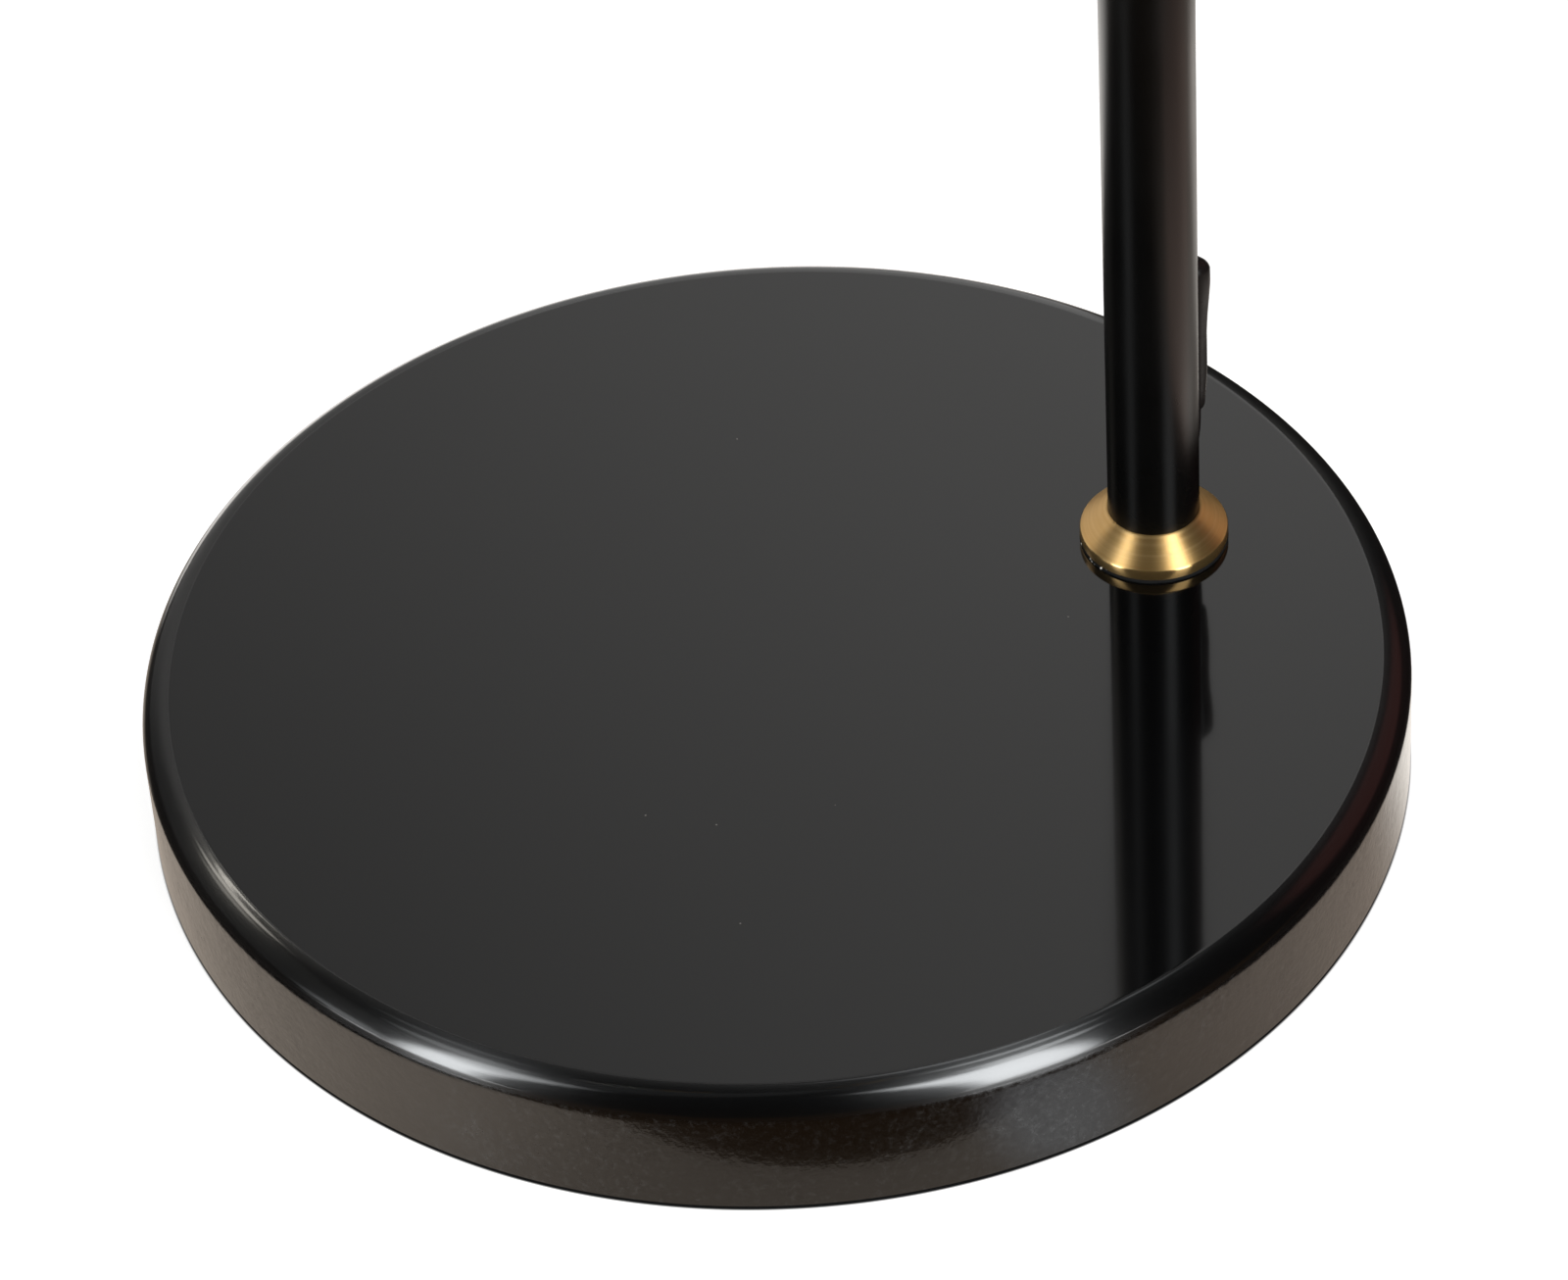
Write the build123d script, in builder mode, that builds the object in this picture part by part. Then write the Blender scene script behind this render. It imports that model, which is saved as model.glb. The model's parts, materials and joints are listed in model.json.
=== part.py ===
"""Pharmacy floor lamp: a weighted round foot, an off-centre telescopic stem, a swivelling and
tilting arm, and a half-round metal shade that turns and tilts at the arm's end.

Millimetres, +Z up.  The origin is the centre of the foot's underside, on the floor.  The stem
stands on +X, and at rest the arm reaches back over the foot towards -X.
"""
import os
from math import ceil, cos, pi, radians, sin, sqrt, tan

from build123d import *

os.makedirs("parts", exist_ok=True)

# ---------------------------------------------------------------- driving dimensions
# foot
base_r = 130.0
base_h = 28.4
base_edge_r = 6.0
cover_wall = 1.2
cover_lift = 1.5
weight_gap = 0.4
pad_t = 2.0
pad_inset = 4.0
nut_pocket_r = 20.0
nut_pocket_h = 12.0

# stem
stem_x = 85.0
stem_r = 9.5
stem_wall = 1.2
stem_top = 780.0
gasket_t = 1.0
gasket_r = 14.9
flange_r = 15.4
flange_rim_h = 2.0
flange_h = 7.0
flange_web = 2.5
flange_lip = 0.4
foot_plug_h = 16.0
nipple_r = 4.95
nipple_bore_r = 3.4
nipple_below_nut = 1.5
nipple_in_plug = 14.0
washer_r = 14.0
washer_t = 2.0
lock_washer_r = 9.5
lock_washer_t = 0.8
lock_washer_teeth = 10
base_nut_flats = 17.0
base_nut_t = 5.0

# flex exit and its moulded sleeve
exit_angle = 27.0
exit_above_base = 62.0
sleeve_end_above_base = 27.5
sleeve_top_above_exit = 4.5
sleeve_end_size = (6.8, 4.4)
sleeve_belly_size = (7.2, 5.2)
sleeve_waist_size = (6.8, 5.0)
sleeve_top_size = (7.6, 5.8)
sleeve_belly_share = 0.27
sleeve_waist_share = 0.5
sleeve_dome_r = 2.6
sleeve_gap = 0.3
exit_hole_r = 2.6
exit_lip_r = 3.4
exit_lip_t = 1.2

# flex, coil and plug
flex_w = 5.6
flex_t = 2.8
flex_length = 2400.0
coil_mid_r = 31.0
coil_columns = 3
coil_slack = 0.4
coil_centre = (161.5, 267.7)
plug_body = (30.0, 24.0, 14.0)
plug_tail = 16.0
plug_angle = -23.5
plug_start = 2.0
plug_chord = 22.0
plug_tail_r = 4.2
plug_skin = 0.5
plug_neck = (16.8, 11.2)
plug_shoulder = 12.0
plug_corner_r = 4.2
blade = (17.0, 6.3, 1.5)
blade_pitch = 12.7
blade_hole_r = 1.6
blade_hole_out = 12.2

# mast and its clamp
mast_r = 6.35
mast_wall = 1.0
mast_low = 560.0
mast_top = 1098.0
mast_up_travel = 170.0
mast_down_travel = 270.0
slider_h = 20.0
guide_bush_h = 25.0
collar_r = 12.5
collar_below = 16.0
collar_above = 16.0
collar_band = 2.5
clamp_screw_r = 2.5
clamp_pad_t = 1.5
clamp_knob_r = 8.0
clamp_knob_l = 10.0
clamp_knob_teeth = 28
knob_seat_l = 5.0
knob_edge = 0.8
knurl_r = 0.7
knurl_out = 0.3
turned_line = 0.6

# swivel and elbow
ferrule_r = 9.0
ferrule_h = 26.0
spigot_r = 4.0
spigot_bore_r = 2.4
yoke_base_h = 8.0
elbow_rise = 22.0
yoke_r = 9.0
yoke_bar_r = 12.0
cheek_t = 4.0
tongue_t = 11.6
elbow_pin_r = 3.0
elbow_washer_t = 0.8
bolt_head_r = 6.5
bolt_head_t = 3.0
bolt_head_round = 2.1
slot_w = 1.2
slot_depth = 1.0
elbow_knob_r = 9.0
elbow_knob_l = 11.0
elbow_knob_teeth = 32
elbow_knob_cap = 3.0
neck_half = 5.5
neck_l = 24.0
boss_r = 8.0
boss_l = 22.0
boss_bore = 16.0

# arm and head joint
arm_r = 5.0
arm_wall = 1.0
arm_end_x = -150.0
arm_ferrule_r = 7.5
arm_ferrule_grip = 12.0
arm_ferrule_nose = 18.0
pin_r = 3.4
pin_bore_r = 1.8
head_pivot_out = 38.0
head_cheek_t = 3.0
head_tongue_t = 7.8
head_r = 7.0
head_base_t = 5.7
head_pin_r = 2.0
head_screw_r = 4.0
head_screw_t = 1.5
head_nut_flats = 7.6
head_nut_t = 3.0
head_dome_r = 3.4
head_dome_h = 1.5
head_washer_t = 0.6
head_neck_half = 4.0
stub_r = 4.0
stub_l = 5.0

# socket, bulb and shade
cap_back_out = 12.0
cap_back_r = 10.0
cap_rim_r = 20.0
cap_l = 22.0
cap_wall = 1.0
cap_bow = 1.8
tongue_nut_flats = 12.0
tongue_nut_t = 2.5
socket_r = 17.0
socket_neck_r = 14.0
socket_neck_l = 11.0
socket_l = 42.0
socket_shoulder_t = 2.0
socket_shoulder_gap = 0.9
socket_bore_r = 13.7
socket_bore_l = 26.0
ring_r = 22.0
ring_t = 6.0
ring_notches = 16
ring_notch_r = 1.2
bulb_cap_r = 13.2
bulb_cap_l = 26.0
bulb_contact_r = 4.5
bulb_neck_r = 12.8
bulb_shoulder = 10.0
thread_start = 5.0
thread_pitch = 3.6
thread_depth = 0.6
thread_turns = 5
bulb_r = 15.9
bulb_l = 104.0
bulb_glass_t = 1.0
shade_r = 48.0
shade_wall = 1.0
shade_flat_r = 23.2
shade_skirt = 24.0
shade_straight = 100.0
bead_r = 1.4
bead_edge_r = 0.55
vent_count = 6
vent_pitch = 9.0
vent_size = (26.0, 2.6)
switch_in = 13.0
switch_bush_r = 3.2
switch_bush_l = 6.0
switch_shaft_in = 5.0
switch_shaft_r = 1.8
switch_knob_r = 5.5
switch_knob_h = 10.0
switch_knob_teeth = 20
switch_knob_gap = 1.5

# clearances
running = 0.05
press = 0.02
drill = 0.35
face_gap = 0.1
swivel_gap = 0.3
clip_t = 0.8
clip_groove = 0.7
clip_play = 0.1
travel_spare = 0.5

# ---------------------------------------------------------------- places worked out from them
stem_bore = stem_r - stem_wall
mast_bore = mast_r - mast_wall
arm_bore = arm_r - arm_wall
flange_z = base_h + gasket_t
stem_z = flange_z + flange_web
collar_top = stem_top + collar_above
guide_z = stem_top - guide_bush_h
ferrule_z = mast_top + ferrule_h / 2
yoke_z = ferrule_z + swivel_gap
elbow_z = yoke_z + yoke_base_h + elbow_rise
pocket_z = pad_t + nut_pocket_h
boss_x = stem_x - neck_l - boss_l
arm_start_x = boss_x + boss_bore
ferrule_x = arm_end_x - arm_ferrule_nose
head_pivot_x = arm_end_x - head_pivot_out
cap_x = head_pivot_x - cap_back_out
shade_x = cap_x - cap_l
shade_back_x = shade_x - sqrt(shade_r**2 - shade_flat_r**2)
shade_front_x = shade_back_x - shade_straight
socket_x = shade_x + socket_neck_l
socket_end_x = socket_x - socket_l
bulb_x = socket_end_x + socket_bore_l
glass_x = bulb_x - bulb_cap_l
switch_x = cap_x - switch_in

stem_axis = Axis((stem_x, 0, 0), (0, 0, 1))
stem_section = Plane(origin=(stem_x, 0, 0), x_dir=(1, 0, 0), z_dir=(0, -1, 0))
arm_axis = Axis((0, 0, elbow_z), (1, 0, 0))
arm_section = Plane(origin=(0, 0, elbow_z), x_dir=(1, 0, 0), z_dir=(0, -1, 0))


def at_stem(z):
    """Level plane centred on the stem."""
    return Plane((stem_x, 0, z))


def across(x, y, z):
    """Upright plane facing +Y, for what turns about a level cross pin."""
    return Plane(origin=(x, y, z), x_dir=(-1, 0, 0), z_dir=(0, 1, 0))


def along_arm(x):
    """Upright plane facing -X, towards the arm's end."""
    return Plane(origin=(x, 0, elbow_z), x_dir=(0, 1, 0), z_dir=(-1, 0, 0))


def turned(points, section, axis):
    """Turn one closed outline, given in the section plane, about an axis."""
    with BuildSketch(section) as outline:
        with BuildLine():
            Polyline(*points, close=True)
        make_face()
    return revolve(outline.sketch, axis=axis)


def turned_groove(z, radius):
    """Three points of a small V groove in a turned outline, going up from z."""
    return (radius, z), (radius - turned_line, z + turned_line), (radius, z + 2 * turned_line)


def knurl(level, radius, length, teeth):
    """Cut fine grooves along a knob's side."""
    with BuildSketch(level) as grooves:
        with PolarLocations(radius + knurl_out, teeth):
            Circle(knurl_r)
    extrude(grooves.sketch, amount=length, mode=Mode.SUBTRACT)


def keep(piece, name):
    """Label a finished piece and write it."""
    piece.part.label = name
    export_step(piece.part, f"parts/{name}.step")
    print(f"{name:18s} {piece.part.volume:12.1f} mm3")


# ---------------------------------------------------------------- foot
with BuildPart() as base_cover:
    with BuildSketch(Plane.XY.offset(cover_lift)):
        Circle(base_r)
    extrude(amount=base_h - cover_lift)
    fillet(base_cover.edges().group_by(Axis.Z)[-1], base_edge_r)
    offset(amount=-cover_wall, openings=base_cover.faces().sort_by(Axis.Z)[0])
    with BuildSketch(at_stem(base_h)):
        Circle(nipple_r + drill)
    extrude(amount=-2 * cover_wall, mode=Mode.SUBTRACT)
keep(base_cover, "base_cover")

with BuildPart() as base_weight:
    with BuildSketch(Plane.XY.offset(pad_t)):
        Circle(base_r - cover_wall - weight_gap)
    extrude(amount=base_h - cover_wall - pad_t)
    fillet(base_weight.edges().group_by(Axis.Z)[-1], base_edge_r)
    chamfer(base_weight.edges().group_by(Axis.Z)[0], cover_wall)
    with BuildSketch(at_stem(pad_t)):
        Circle(nut_pocket_r)
    extrude(amount=nut_pocket_h, mode=Mode.SUBTRACT)
    with BuildSketch(at_stem(pocket_z)):
        Circle(nipple_r + drill)
    extrude(amount=base_h, mode=Mode.SUBTRACT)
keep(base_weight, "base_weight")

with BuildPart() as felt_pad:
    with BuildSketch(Plane.XY):
        Circle(base_r - pad_inset)
        with Locations((stem_x, 0)):
            Circle(nut_pocket_r, mode=Mode.SUBTRACT)
    extrude(amount=pad_t)
keep(felt_pad, "felt_pad")

with BuildPart() as flange_gasket:
    with BuildSketch(at_stem(base_h)):
        Circle(gasket_r)
        Circle(nipple_r + drill, mode=Mode.SUBTRACT)
    extrude(amount=gasket_t)
keep(flange_gasket, "flange_gasket")

with BuildPart() as stem_flange:
    turned(
        (
            (nipple_r + drill, flange_z),
            (flange_r, flange_z),
            (flange_r, flange_z + flange_rim_h),
            (stem_r + flange_lip, flange_z + flange_h),
            (stem_r + running, flange_z + flange_h),
            (stem_r + running, stem_z),
            (nipple_r + drill, stem_z),
        ),
        stem_section,
        stem_axis,
    )
    rounds = stem_flange.edges().filter_by(GeomType.CIRCLE)
    fillet(rounds.filter_by(lambda e: abs(e.radius - flange_r) < running), flange_lip)
keep(stem_flange, "stem_flange")

with BuildPart() as foot_plug:
    with BuildSketch(at_stem(stem_z)):
        Circle(stem_bore - press)
        Circle(nipple_r + running, mode=Mode.SUBTRACT)
    extrude(amount=foot_plug_h)
    chamfer(foot_plug.edges().group_by(Axis.Z)[-1].sort_by(SortBy.RADIUS)[-1], cover_wall / 2)
keep(foot_plug, "foot_plug")

washer_z = pocket_z - washer_t
lock_washer_z = washer_z - lock_washer_t
base_nut_z = lock_washer_z - base_nut_t

with BuildPart() as threaded_nipple:
    with BuildSketch(at_stem(base_nut_z - nipple_below_nut)):
        Circle(nipple_r)
        Circle(nipple_bore_r, mode=Mode.SUBTRACT)
    extrude(amount=stem_z + nipple_in_plug - base_nut_z + nipple_below_nut)
keep(threaded_nipple, "threaded_nipple")

with BuildPart() as clamp_washer:
    with BuildSketch(at_stem(washer_z)):
        Circle(washer_r)
        Circle(nipple_r + running, mode=Mode.SUBTRACT)
    extrude(amount=washer_t)
keep(clamp_washer, "clamp_washer")

with BuildPart() as lock_washer:
    with BuildSketch(at_stem(lock_washer_z)):
        Circle(lock_washer_r)
        Circle(nipple_r + running, mode=Mode.SUBTRACT)
        with PolarLocations(lock_washer_r, lock_washer_teeth):
            Rectangle(lock_washer_t * 2, lock_washer_t * 2, mode=Mode.SUBTRACT)
    extrude(amount=lock_washer_t)
keep(lock_washer, "lock_washer")

with BuildPart() as base_nut:
    with BuildSketch(at_stem(base_nut_z)):
        RegularPolygon(base_nut_flats / 2, 6, major_radius=False)
        Circle(nipple_r + running, mode=Mode.SUBTRACT)
    extrude(amount=base_nut_t)
keep(base_nut, "base_nut")

# ---------------------------------------------------------------- stem, flex exit and clamp
exit_z = base_h + exit_above_base
exit_dir = Vector(cos(radians(exit_angle)), sin(radians(exit_angle)), 0)
exit_side = Vector(-sin(radians(exit_angle)), cos(radians(exit_angle)), 0)
exit_level = Vector(stem_x, 0, exit_z)


def out_of_stem(distance):
    """Upright plane facing out of the stem at the flex hole."""
    return Plane(origin=exit_level + exit_dir * distance, x_dir=exit_side, z_dir=exit_dir)


def sleeve_level(z, size):
    """Level plane centred on the sleeve, whose flat side lies by the stem."""
    centre = Vector(stem_x, 0, z) + exit_dir * (stem_r + sleeve_gap + size[1] / 2)
    return Plane(origin=centre, x_dir=exit_side, z_dir=(0, 0, 1))


with BuildPart() as lower_stem:
    with BuildSketch(at_stem(stem_z)):
        Circle(stem_r)
        Circle(stem_bore, mode=Mode.SUBTRACT)
    extrude(amount=stem_top - stem_z)
    with BuildSketch(out_of_stem(0)):
        Circle(exit_hole_r + running)
    extrude(amount=2 * stem_r, mode=Mode.SUBTRACT)
keep(lower_stem, "lower_stem")

sleeve_z = base_h + sleeve_end_above_base
sleeve_top_z = exit_z + sleeve_top_above_exit
sleeve_belly_z = sleeve_z + sleeve_belly_share * (sleeve_top_z - sleeve_z)
sleeve_waist_z = sleeve_z + sleeve_waist_share * (sleeve_top_z - sleeve_z)

with BuildPart() as strain_relief:
    with BuildSketch(sleeve_level(sleeve_z, sleeve_end_size)):
        SlotOverall(*sleeve_end_size)
    with BuildSketch(sleeve_level(sleeve_belly_z, sleeve_belly_size)):
        SlotOverall(*sleeve_belly_size)
    with BuildSketch(sleeve_level(sleeve_waist_z, sleeve_waist_size)):
        SlotOverall(*sleeve_waist_size)
    with BuildSketch(sleeve_level(sleeve_top_z, sleeve_top_size)):
        SlotOverall(*sleeve_top_size)
    loft()
    fillet(strain_relief.edges().group_by(Axis.Z)[-1], sleeve_dome_r)
    with BuildSketch(out_of_stem(stem_bore - exit_lip_t)):
        Circle(exit_hole_r)
    extrude(amount=stem_wall + exit_lip_t + sleeve_gap + sleeve_top_size[1] / 2)
    with BuildSketch(out_of_stem(stem_bore - 2 * exit_lip_t)):
        Circle(exit_lip_r)
    extrude(amount=exit_lip_t)
keep(strain_relief, "strain_relief")

with BuildPart() as guide_bush:
    with BuildSketch(at_stem(guide_z)):
        Circle(stem_bore - press)
        Circle(mast_r + running, mode=Mode.SUBTRACT)
    extrude(amount=guide_bush_h)
keep(guide_bush, "guide_bush")

clamp_z = stem_top + collar_above / 2


def clamp_level(y):
    """Upright plane across the clamp screw, a distance out from the stem's axis."""
    return across(stem_x, y, clamp_z)


with BuildPart() as lock_collar:
    turned(
        (
            (stem_r + press, stem_top - collar_below),
            (collar_r - collar_band / 2, stem_top - collar_below),
            (collar_r, stem_top - collar_below + collar_band),
            *turned_groove(stem_top - collar_below + 2 * collar_band, collar_r),
            (collar_r, collar_top - collar_band),
            (collar_r - collar_band, collar_top),
            (mast_r + swivel_gap, collar_top),
            (mast_r + swivel_gap, stem_top),
            (stem_r + press, stem_top),
        ),
        stem_section,
        stem_axis,
    )
    with BuildSketch(clamp_level(0)):
        Circle(clamp_screw_r + running)
    extrude(amount=2 * collar_r, mode=Mode.SUBTRACT)
keep(lock_collar, "lock_collar")

pad_y = mast_r + running
screw_y = pad_y + clamp_pad_t
knob_y = collar_r + swivel_gap

with BuildPart() as clamp_pad:
    with BuildSketch(clamp_level(pad_y)):
        Circle(clamp_screw_r)
    extrude(amount=clamp_pad_t)
keep(clamp_pad, "clamp_pad")

with BuildPart() as clamp_screw:
    with BuildSketch(clamp_level(screw_y)):
        Circle(clamp_screw_r)
    extrude(amount=knob_y - screw_y + knob_seat_l)
keep(clamp_screw, "clamp_screw")

with BuildPart() as clamp_knob:
    with BuildSketch(clamp_level(knob_y)):
        Circle(clamp_knob_r)
    extrude(amount=clamp_knob_l)
    chamfer(clamp_knob.edges(), knob_edge)
    knurl(clamp_level(knob_y), clamp_knob_r, clamp_knob_l, clamp_knob_teeth)
    with BuildSketch(clamp_level(knob_y)):
        Circle(clamp_screw_r + press)
    extrude(amount=knob_seat_l, mode=Mode.SUBTRACT)
keep(clamp_knob, "clamp_knob")

# ---------------------------------------------------------------- mast
with BuildPart() as mast_tube:
    with BuildSketch(at_stem(mast_low)):
        Circle(mast_r)
        Circle(mast_bore, mode=Mode.SUBTRACT)
    extrude(amount=mast_top - mast_low)
keep(mast_tube, "mast_tube")

slider_top = guide_z - mast_up_travel - travel_spare
with BuildPart() as mast_slider:
    with BuildSketch(at_stem(slider_top - slider_h)):
        Circle(stem_bore - running)
        Circle(mast_r + press, mode=Mode.SUBTRACT)
    extrude(amount=slider_h)
keep(mast_slider, "mast_slider")

with BuildPart() as mast_ferrule:
    turned(
        (
            (mast_r + press, mast_top - ferrule_h / 2),
            (ferrule_r - cheek_t / 4, mast_top - ferrule_h / 2),
            (ferrule_r, mast_top - ferrule_h / 2 + cheek_t / 2),
            *turned_groove(mast_top - ferrule_h / 2 + cheek_t, ferrule_r),
            (ferrule_r, ferrule_z),
            (spigot_r + running, ferrule_z),
            (spigot_r + running, mast_top),
            (mast_r + press, mast_top),
        ),
        stem_section,
        stem_axis,
    )
keep(mast_ferrule, "mast_ferrule")

# ---------------------------------------------------------------- swivel yoke and elbow
cheek_in = tongue_t / 2 + elbow_washer_t + 2 * running
cheek_out = cheek_in + cheek_t
groove_z = mast_top - clip_play - clip_t
spigot_low = groove_z - 3 * clip_t

with BuildPart() as swivel_yoke:
    with BuildSketch(across(stem_x, -cheek_out, elbow_z)):
        Circle(yoke_r)
        with Locations((0, -(elbow_z - yoke_z) / 2)):
            Rectangle(2 * yoke_r, elbow_z - yoke_z)
    extrude(amount=2 * cheek_out)
    with BuildSketch(at_stem(yoke_z)):
        Circle(yoke_bar_r)
    extrude(amount=elbow_z + yoke_r - yoke_z, mode=Mode.INTERSECT)
    with BuildSketch(across(stem_x, -cheek_in, elbow_z)):
        with Locations((0, yoke_r)):
            Rectangle(4 * yoke_r, 2 * (elbow_rise + yoke_r))
    extrude(amount=2 * cheek_in, mode=Mode.SUBTRACT)
    with BuildSketch(across(stem_x, -cheek_out, elbow_z)):
        Circle(elbow_pin_r + running)
    extrude(amount=2 * cheek_out, mode=Mode.SUBTRACT)
    with BuildSketch(at_stem(spigot_low)):
        Circle(spigot_r)
    extrude(amount=yoke_z - spigot_low)
    with BuildSketch(at_stem(groove_z)):
        Circle(2 * spigot_r)
        Circle(spigot_r - clip_groove, mode=Mode.SUBTRACT)
    extrude(amount=clip_t, mode=Mode.SUBTRACT)
    with BuildSketch(at_stem(spigot_low)):
        Circle(spigot_bore_r)
    extrude(amount=elbow_z - spigot_low, mode=Mode.SUBTRACT)
keep(swivel_yoke, "swivel_yoke")

with BuildPart() as yoke_clip:
    with BuildSketch(at_stem(groove_z + press)):
        Circle(mast_bore - clip_play)
        Circle(spigot_r - clip_groove + press, mode=Mode.SUBTRACT)
        with Locations((mast_bore, 0)):
            Rectangle(2 * mast_bore, spigot_r, mode=Mode.SUBTRACT)
    extrude(amount=clip_t - 2 * press)
keep(yoke_clip, "yoke_clip")

bolt_tip = cheek_out + elbow_knob_l - elbow_knob_cap

with BuildPart() as elbow_bolt:
    with BuildSketch(across(stem_x, -cheek_out - bolt_head_t, elbow_z)):
        Circle(bolt_head_r)
    extrude(amount=bolt_head_t)
    fillet(elbow_bolt.edges().sort_by(Axis.Y)[0], bolt_head_round)
    with BuildSketch(across(stem_x, -cheek_out - bolt_head_t, elbow_z)):
        Rectangle(2 * bolt_head_r, slot_w)
    extrude(amount=slot_depth, mode=Mode.SUBTRACT)
    with BuildSketch(across(stem_x, -cheek_out, elbow_z)):
        Circle(elbow_pin_r)
    extrude(amount=cheek_out + bolt_tip)
keep(elbow_bolt, "elbow_bolt")

with BuildPart() as elbow_washers:
    for side_y in (-cheek_in + running, tongue_t / 2 + running):
        with BuildSketch(across(stem_x, side_y, elbow_z)):
            Circle(yoke_r - running)
            Circle(elbow_pin_r + running, mode=Mode.SUBTRACT)
        extrude(amount=elbow_washer_t)
keep(elbow_washers, "elbow_washers")

with BuildPart() as elbow_knob:
    with BuildSketch(across(stem_x, cheek_out + face_gap, elbow_z)):
        Circle(elbow_knob_r)
    extrude(amount=elbow_knob_l)
    chamfer(elbow_knob.edges(), knob_edge)
    knurl(across(stem_x, cheek_out + face_gap, elbow_z), elbow_knob_r, elbow_knob_l, elbow_knob_teeth)
    with BuildSketch(across(stem_x, cheek_out + face_gap, elbow_z)):
        Circle(elbow_pin_r + running)
    extrude(amount=bolt_tip - cheek_out, mode=Mode.SUBTRACT)
keep(elbow_knob, "elbow_knob")

# ---------------------------------------------------------------- arm
with BuildPart() as arm_knuckle:
    with BuildSketch(across(stem_x, -tongue_t / 2, elbow_z)):
        Circle(yoke_r)
        with Locations((neck_l / 2, 0)):
            Rectangle(neck_l, 2 * neck_half)
    extrude(amount=tongue_t)
    with BuildSketch(along_arm(stem_x - neck_l)):
        Circle(boss_r)
    extrude(amount=boss_l)
    fillet(arm_knuckle.edges().sort_by(Axis.X)[0], boss_r / 8)
    with BuildSketch(along_arm(arm_start_x)):
        Circle(arm_r + press)
    extrude(amount=boss_bore, mode=Mode.SUBTRACT)
    with BuildSketch(along_arm(stem_x - yoke_r)):
        Circle(spigot_bore_r)
    extrude(amount=neck_l + boss_l, mode=Mode.SUBTRACT)
    with BuildSketch(across(stem_x, -tongue_t / 2, elbow_z)):
        Circle(elbow_pin_r + running)
    extrude(amount=tongue_t, mode=Mode.SUBTRACT)
keep(arm_knuckle, "arm_knuckle")

with BuildPart() as arm_tube:
    with BuildSketch(along_arm(arm_start_x)):
        Circle(arm_r)
        Circle(arm_bore, mode=Mode.SUBTRACT)
    extrude(amount=arm_start_x - arm_end_x)
keep(arm_tube, "arm_tube")

with BuildPart() as arm_ferrule:
    turned(
        (
            (arm_end_x + arm_ferrule_grip, arm_r + press),
            (arm_end_x + arm_ferrule_grip, arm_ferrule_r - 1),
            (arm_end_x + arm_ferrule_grip - 2, arm_ferrule_r),
            (arm_end_x, arm_ferrule_r),
            (arm_end_x - turned_line, arm_ferrule_r - turned_line),
            (arm_end_x - 2 * turned_line, arm_ferrule_r),
            (ferrule_x, arm_ferrule_r),
            (ferrule_x, pin_r + running),
            (arm_end_x, pin_r + running),
            (arm_end_x, arm_r + press),
        ),
        arm_section,
        arm_axis,
    )
keep(arm_ferrule, "arm_ferrule")

# ---------------------------------------------------------------- head fork, turning in the arm's end
fork_x = ferrule_x - swivel_gap
fork_slot_x = fork_x - head_base_t
head_cheek_in = head_tongue_t / 2 + head_washer_t + 2 * running
head_cheek_out = head_cheek_in + head_cheek_t
pin_clip_x = arm_end_x + clip_play + clip_t
pin_in_x = pin_clip_x + 2 * clip_t

with BuildPart() as head_fork:
    with BuildSketch(across(head_pivot_x, -head_cheek_out, elbow_z)):
        Circle(head_r)
        with Locations((-(fork_x - head_pivot_x) / 2, 0)):
            Rectangle(fork_x - head_pivot_x, 2 * head_r)
    extrude(amount=2 * head_cheek_out)
    with BuildSketch(across(head_pivot_x, -head_cheek_in, elbow_z)):
        with Locations((-(fork_slot_x - head_pivot_x) / 2 + head_r, 0)):
            Rectangle(fork_slot_x - head_pivot_x + 2 * head_r, 4 * head_r)
    extrude(amount=2 * head_cheek_in, mode=Mode.SUBTRACT)
    with BuildSketch(across(head_pivot_x, -head_cheek_out, elbow_z)):
        Circle(head_pin_r + running)
    extrude(amount=2 * head_cheek_out, mode=Mode.SUBTRACT)
    with BuildSketch(along_arm(pin_in_x)):
        Circle(pin_r)
    extrude(amount=pin_in_x - fork_x)
    with BuildSketch(along_arm(pin_clip_x)):
        Circle(2 * pin_r)
        Circle(pin_r - clip_groove, mode=Mode.SUBTRACT)
    extrude(amount=clip_t, mode=Mode.SUBTRACT)
    with BuildSketch(along_arm(pin_in_x)):
        Circle(pin_bore_r)
    extrude(amount=pin_in_x - fork_slot_x, mode=Mode.SUBTRACT)
keep(head_fork, "head_fork")

with BuildPart() as fork_clip:
    with BuildSketch(along_arm(pin_clip_x - press)):
        Circle(arm_bore - clip_play)
        Circle(pin_r - clip_groove + press, mode=Mode.SUBTRACT)
        with Locations((0, arm_bore)):
            Rectangle(pin_r, 2 * arm_bore, mode=Mode.SUBTRACT)
    extrude(amount=clip_t - 2 * press)
keep(fork_clip, "fork_clip")

with BuildPart() as head_screw:
    with BuildSketch(across(head_pivot_x, -head_cheek_out - head_screw_t, elbow_z)):
        Circle(head_screw_r)
    extrude(amount=head_screw_t)
    fillet(head_screw.edges().sort_by(Axis.Y)[0], 2 * head_screw_t / 3)
    with BuildSketch(across(head_pivot_x, -head_cheek_out - head_screw_t, elbow_z)):
        Rectangle(2 * head_screw_r, slot_w)
    extrude(amount=head_screw_t / 2, mode=Mode.SUBTRACT)
    with BuildSketch(across(head_pivot_x, -head_cheek_out, elbow_z)):
        Circle(head_pin_r)
    extrude(amount=2 * head_cheek_out + head_nut_t)
keep(head_screw, "head_screw")

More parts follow.
